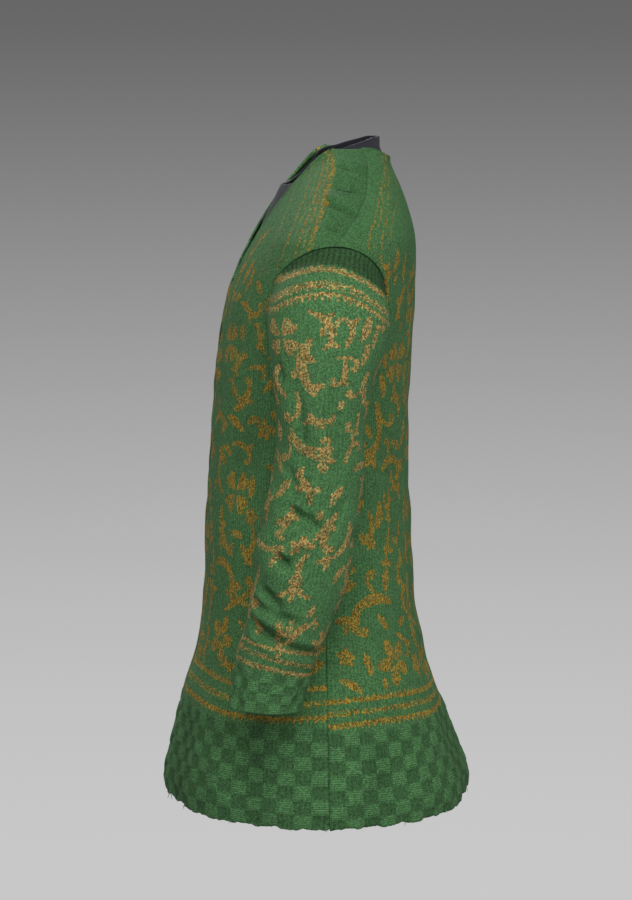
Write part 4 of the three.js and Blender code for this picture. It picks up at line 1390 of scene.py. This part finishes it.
class JacketColours(bpy.types.PropertyGroup):
    """Colours of the yarns and of the lining"""

    green: colour_setting("Green", "Ground yarn", 87, 138, 85)
    gold: colour_setting("Gold", "Ornament yarn of the body", 172, 144, 58)
    sleeve_gold: colour_setting("Sleeve gold", "Ornament yarn of the sleeves", 182, 156, 94)
    ochre: colour_setting("Ochre", "Darker metal-wound stitches of the ornament", 150, 118, 52)
    # Partly painted highlight: pale flecks standing in for glints on the fibres' tips, as well as random pale
    # stitches.
    speckle: colour_setting("Speckle", "Pale stitches strewn over the ground", 158, 172, 138)
    lining: colour_setting("Lining", "Woven lining", 40, 40, 48)


def in_millimetres(sizes):
    """The sizes that the geometry uses, in millimetres."""
    return {name: getattr(sizes, name) / MM for name in ("block_width", "block_height", "relief")}


def declare(piece, node):
    """Sets what a piece of cloth rides on, and hides the part that it stands in for."""
    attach(piece, "root")
    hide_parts(node)


class JACKET_OT_fronts(bpy.types.Operator):
    """Knits the two fronts"""

    bl_idname = "jacket.fronts"
    bl_label = "Fronts"

    def execute(self, context):
        sizes = context.scene.jacket_sizes
        colours = context.scene.jacket_colours
        material = knit_material("front_knitting", colours, sizes, colours.gold)
        for hand, node in ((1, "front_left"), (-1, "front_right")):
            parts = front_cloth(hand, sizes.cloth / MM, in_millimetres(sizes))
            piece = add_cloth(node + "_knit", parts, False, material)
            declare(piece, node)
        return {"FINISHED"}


class JACKET_OT_back(bpy.types.Operator):
    """Knits the back"""

    bl_idname = "jacket.back"
    bl_label = "Back"

    def execute(self, context):
        sizes = context.scene.jacket_sizes
        colours = context.scene.jacket_colours
        material = knit_material("back_knitting", colours, sizes, colours.gold)
        piece = add_cloth("back_knit", back_cloth(sizes.cloth / MM, in_millimetres(sizes)), False, material)
        declare(piece, "back")
        return {"FINISHED"}


class JACKET_OT_sleeves(bpy.types.Operator):
    """Knits the two sleeves"""

    bl_idname = "jacket.sleeves"
    bl_label = "Sleeves"

    def execute(self, context):
        sizes = context.scene.jacket_sizes
        colours = context.scene.jacket_colours
        material = knit_material("sleeve_knitting", colours, sizes, colours.sleeve_gold)
        for hand, node in ((1, "sleeve_left"), (-1, "sleeve_right")):
            parts = sleeve_cloth(hand, sizes.cloth / MM, in_millimetres(sizes))
            piece = add_cloth(node + "_knit", parts, True, material)
            declare(piece, node)
        return {"FINISHED"}


class JACKET_OT_lining(bpy.types.Operator):
    """Sets the dark lining in the neck"""

    bl_idname = "jacket.lining"
    bl_label = "Lining"

    def execute(self, context):
        parts = lining_cloth(context.scene.jacket_sizes.lining / MM)
        piece = add_cloth("neck_lining_cloth", parts, True, lining_material(context.scene.jacket_colours))
        declare(piece, "neck_lining")
        return {"FINISHED"}


# Loose ends of yarn at the hem: angle and height where each starts, its length, how far it swings
# round and outward, and its half thickness.
THREADS = table("angle height length swing out thick", [
    (12, -660, 16, 5, 7, 0.45), (14, -664, 12, -7, 3, 0.4), (20, -662, 9, 4, 5, 0.4),
    (28, -665, 8, -3, 4, 0.4), (33, -664, 7, 5, 2, 0.35), (52, -665, 6, 3, 3, 0.35),
    (88, -662, 13, 2, 2, 0.4), (90, -664, 9, -4, 3, 0.35), (118, -665, 8, 4, 3, 0.35),
    (141, -664, 7, -3, 4, 0.35),
    (172, -665, 9, 4, 3, 0.4), (205, -664, 8, -5, 3, 0.35), (248, -665, 10, 4, 3, 0.4),
    (272, -664, 12, -3, 3, 0.4), (300, -665, 7, 4, 4, 0.35), (331, -664, 10, -5, 5, 0.4),
    (348, -662, 11, 6, 4, 0.4),
])
THREAD_RINGS = 9
THREAD_SIDES = 6


def yarn_end(angle, height, length, swing, out, thick):
    """Points of a loose end, a thinning tube and then the middles of its two ends. Its line starts just
    inside the cloth, leans outward, swings round by a sine, and falls more and more."""
    part = np.linspace(0, 1, THREAD_RINGS)
    turn = np.linspace(0, 2 * math.pi, THREAD_SIDES, endpoint=False)
    a = np.radians(np.array([angle]))
    h = np.array([height])
    start = body_points(a, h, np.array([-0.6]))[0]
    away = square_to_body(a, h)[0]
    round_it = np.cross([0, 0, 1.0], away)
    lean = np.outer(part * out * (1 - 0.35 * part), away)
    line = start + lean + np.outer(np.sin(part * 2.6) * swing, round_it)
    line[:, 2] -= length * (0.35 * part + 0.65 * part ** 2) * 0.55
    tangent = unit(np.gradient(line, axis=0))
    side = unit(np.cross(tangent, round_it))
    other = np.cross(tangent, side)
    radius = thick * (1 - 0.55 * part ** 3)[:, None, None]
    ring = side[:, None] * np.cos(turn)[None, :, None] + other[:, None] * np.sin(turn)[None, :, None]
    tube = (line[:, None] + radius * ring).reshape(-1, 3)
    return np.concatenate([tube, line[:1], line[-1:]])


def yarn_end_faces():
    """Faces of a loose end: four-sided round the tube, and a fan of triangles at either end."""
    i, j = grid_places(THREAD_RINGS - 1, THREAD_SIDES)
    k = (j + 1) % THREAD_SIDES
    sides = np.stack([i, i, i + 1, i + 1], 1) * THREAD_SIDES + np.stack([j, k, k, j], 1)
    j = np.arange(THREAD_SIDES)
    k = (j + 1) % THREAD_SIDES
    middle = THREAD_RINGS * THREAD_SIDES
    last = middle - THREAD_SIDES
    fans = [np.stack([k, j, 0 * j + middle], 1), np.stack([j + last, k + last, 0 * j + middle + 1], 1)]
    return sides, np.concatenate(fans)


class JACKET_OT_threads(bpy.types.Operator):
    """Hangs loose ends of yarn from the hem"""

    bl_idname = "jacket.threads"
    bl_label = "Loose ends"

    def execute(self, context):
        ends = [yarn_end(*row) for row in zip(*THREADS.values())]
        sides, fans = yarn_end_faces()
        base = len(ends[0]) * np.arange(len(ends))[:, None, None]
        quads = (sides + base).reshape(-1, 4)
        piece = new_mesh("hem_threads", np.concatenate(ends), quads, (fans + base).reshape(-1, 3))
        piece.data.materials.append(yarn_material(context.scene.jacket_colours))
        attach(piece, "root")
        return {"FINISHED"}


# The room round the jacket, in metres: a round floor that sweeps up into a wall. Greys are as on the screen.
FLOOR_HEIGHT = -1.1
WALL_RADIUS = 6.5
SWEEP_RADIUS = 0.35
WALL_TOP = 4.0
FLOOR_ROWS = 24
SWEEP_ROWS = 8
WALL_ROWS = 32
ROOM_COLUMNS = 96
MIDDLE_RADIUS = 0.001
PALE_GREY = 200
DARK_GREY = 100
PICTURE_SENSOR = 36.0
CAMERA_AT = (3.3708, -0.2037, 0.0945)
CAMERA_TARGET = (0.0, -0.027, -0.314)
LENS = 131.4
STUDIO_LIGHT = 0.26
LIGHTS = table("x y z size power", [
    (3.3, -0.2, 1.9, 3.0, 128), (3.3, 1.8, 0.7, 1.6, 30), (-3.4, -0.5, 2.2, 1.4, 90),
    (0.4, -3.8, 1.5, 1.4, 10), (0.4, 3.8, 1.5, 1.4, 12),
])


def room_profile():
    """Radius and height of the room: flat floor, a quarter of a circle up into the wall, then straight up"""
    quarter = np.linspace(0, math.pi / 2, SWEEP_ROWS)
    floor = np.linspace(MIDDLE_RADIUS, WALL_RADIUS - SWEEP_RADIUS, FLOOR_ROWS, endpoint=False)
    wall = np.linspace(FLOOR_HEIGHT + SWEEP_RADIUS, WALL_TOP, WALL_ROWS + 1)[1:]
    sweep_out = WALL_RADIUS - SWEEP_RADIUS * (1 - np.sin(quarter))
    sweep_up = FLOOR_HEIGHT + SWEEP_RADIUS * (1 - np.cos(quarter))
    radius = np.concatenate([floor, sweep_out, np.full(len(wall), WALL_RADIUS)])
    height = np.concatenate([np.full(len(floor), FLOOR_HEIGHT), sweep_up, wall])
    return radius, height


def room_grey(radius, height):
    """Grey on the screen by how far down the picture the far side of the room shows: a quarter of a sine
    wave from dark to pale."""
    down = np.arctan2(CAMERA_AT[2] - height, radius + CAMERA_AT[0])
    tilt = math.atan2(CAMERA_AT[2] - CAMERA_TARGET[2], CAMERA_AT[0])
    half_view = math.atan(PICTURE_SENSOR / 2 / LENS)
    share = np.clip((down - tilt + half_view) / (2 * half_view), 0, 1)
    return DARK_GREY + (PALE_GREY - DARK_GREY) * np.sin(share * math.pi / 2)


def make_room():
    """The room as rings of points, whose material glows in its own grey and lights nothing else."""
    turn = np.linspace(0, 2 * math.pi, ROOM_COLUMNS, endpoint=False)
    radius, height = room_profile()
    room = np.stack([np.outer(radius, np.cos(turn)), np.outer(radius, np.sin(turn)),
                     np.repeat(height[:, None], ROOM_COLUMNS, 1)], -1) / MM
    i, j = grid_places(len(radius) - 1, ROOM_COLUMNS)
    k = (j + 1) % ROOM_COLUMNS
    quads = np.stack([i, i + 1, i + 1, i], 1) * ROOM_COLUMNS + np.stack([j, j, k, k], 1)
    stage = new_mesh("room", room.reshape(-1, 3), quads, np.empty((0, 3), np.int32))
    # Painted light: the grey the room glows in, darker toward the top of the picture and paler toward its
    # bottom.
    tones = np.array([linear(g, g, g)[0] for g in room_grey(radius, height)])
    made = stage.data.attributes.new("grey", "FLOAT_VECTOR", "POINT")
    made.data.foreach_set("vector", np.repeat(tones, 3 * ROOM_COLUMNS).astype(np.float32))
    sh = Shader("glowing_graded_backdrop")
    tone = sh.node("ShaderNodeAttribute", {"attribute_name": "grey"}).outputs["Color"]
    glow_settings = {"Emission Color": tone, "Emission Strength": 1.0, "Base Color": (0.0, 0.0, 0.0, 1.0),
             "Specular IOR Level": 0.0, "Roughness": 1.0}
    for key, value in glow_settings.items():
        sh.set_input(sh.surface, key, value)
    stage.data.materials.append(sh.material)
    stage.visible_diffuse = False
    return stage


def aim(item, at):
    """Sets a lamp or the camera at a place, facing the camera's target."""
    item.location = at
    item.rotation_euler = (Vector(CAMERA_TARGET) - Vector(at)).to_track_quat("-Z", "Y").to_euler()
    bpy.context.scene.collection.objects.link(item)


class JACKET_OT_stage(bpy.types.Operator):
    """Sets the floor, backdrop, lights and camera"""

    bl_idname = "jacket.stage"
    bl_label = "Stage"

    def execute(self, context):
        make_room()
        for x, y, z, size, power in zip(*LIGHTS.values()):
            lamp = bpy.data.lights.new("softbox", "AREA")
            lamp.size = size
            lamp.energy = power
            aim(bpy.data.objects.new("softbox", lamp), (x, y, z))
        camera = bpy.data.objects.new("camera", bpy.data.cameras.new("camera"))
        camera.data.lens = LENS
        aim(camera, CAMERA_AT)
        context.scene.camera = camera
        world = bpy.data.worlds.new("studio")
        world.use_nodes = True
        light = world.node_tree.nodes["Background"].inputs["Color"]
        light.default_value = (STUDIO_LIGHT, STUDIO_LIGHT, STUDIO_LIGHT, 1.0)
        context.scene.world = world
        context.scene.view_settings.view_transform = "Standard"
        return {"FINISHED"}


class JACKET_PT_panel(bpy.types.Panel):
    """Lists the jacket's pieces"""

    bl_idname = "JACKET_PT_panel"
    bl_label = "Knitted jacket"
    bl_space_type = "VIEW_3D"
    bl_region_type = "UI"
    bl_category = "Jacket"

    def draw(self, context):
        layout = self.layout
        for group in (context.scene.jacket_sizes, context.scene.jacket_colours):
            for name in group.__annotations__:
                layout.prop(group, name)
        for operator in OPERATORS:
            layout.operator(operator.bl_idname)


OPERATORS = (JACKET_OT_stage, JACKET_OT_fronts, JACKET_OT_back, JACKET_OT_sleeves, JACKET_OT_lining,
             JACKET_OT_threads)
CLASSES = (JacketSizes, JacketColours, *OPERATORS, JACKET_PT_panel)


def register():
    """Adds the settings, operators and panel."""
    for item in CLASSES:
        bpy.utils.register_class(item)
    bpy.types.Scene.jacket_sizes = bpy.props.PointerProperty(type=JacketSizes)
    bpy.types.Scene.jacket_colours = bpy.props.PointerProperty(type=JacketColours)


def unregister():
    """Takes them away again."""
    del bpy.types.Scene.jacket_sizes
    del bpy.types.Scene.jacket_colours
    for item in reversed(CLASSES):
        bpy.utils.unregister_class(item)


def main():
    """Builds everything through the operators."""
    register()
    bpy.ops.jacket.stage()
    bpy.ops.jacket.fronts()
    bpy.ops.jacket.back()
    bpy.ops.jacket.sleeves()
    bpy.ops.jacket.lining()
    bpy.ops.jacket.threads()


if __name__ == "__main__":
    main()
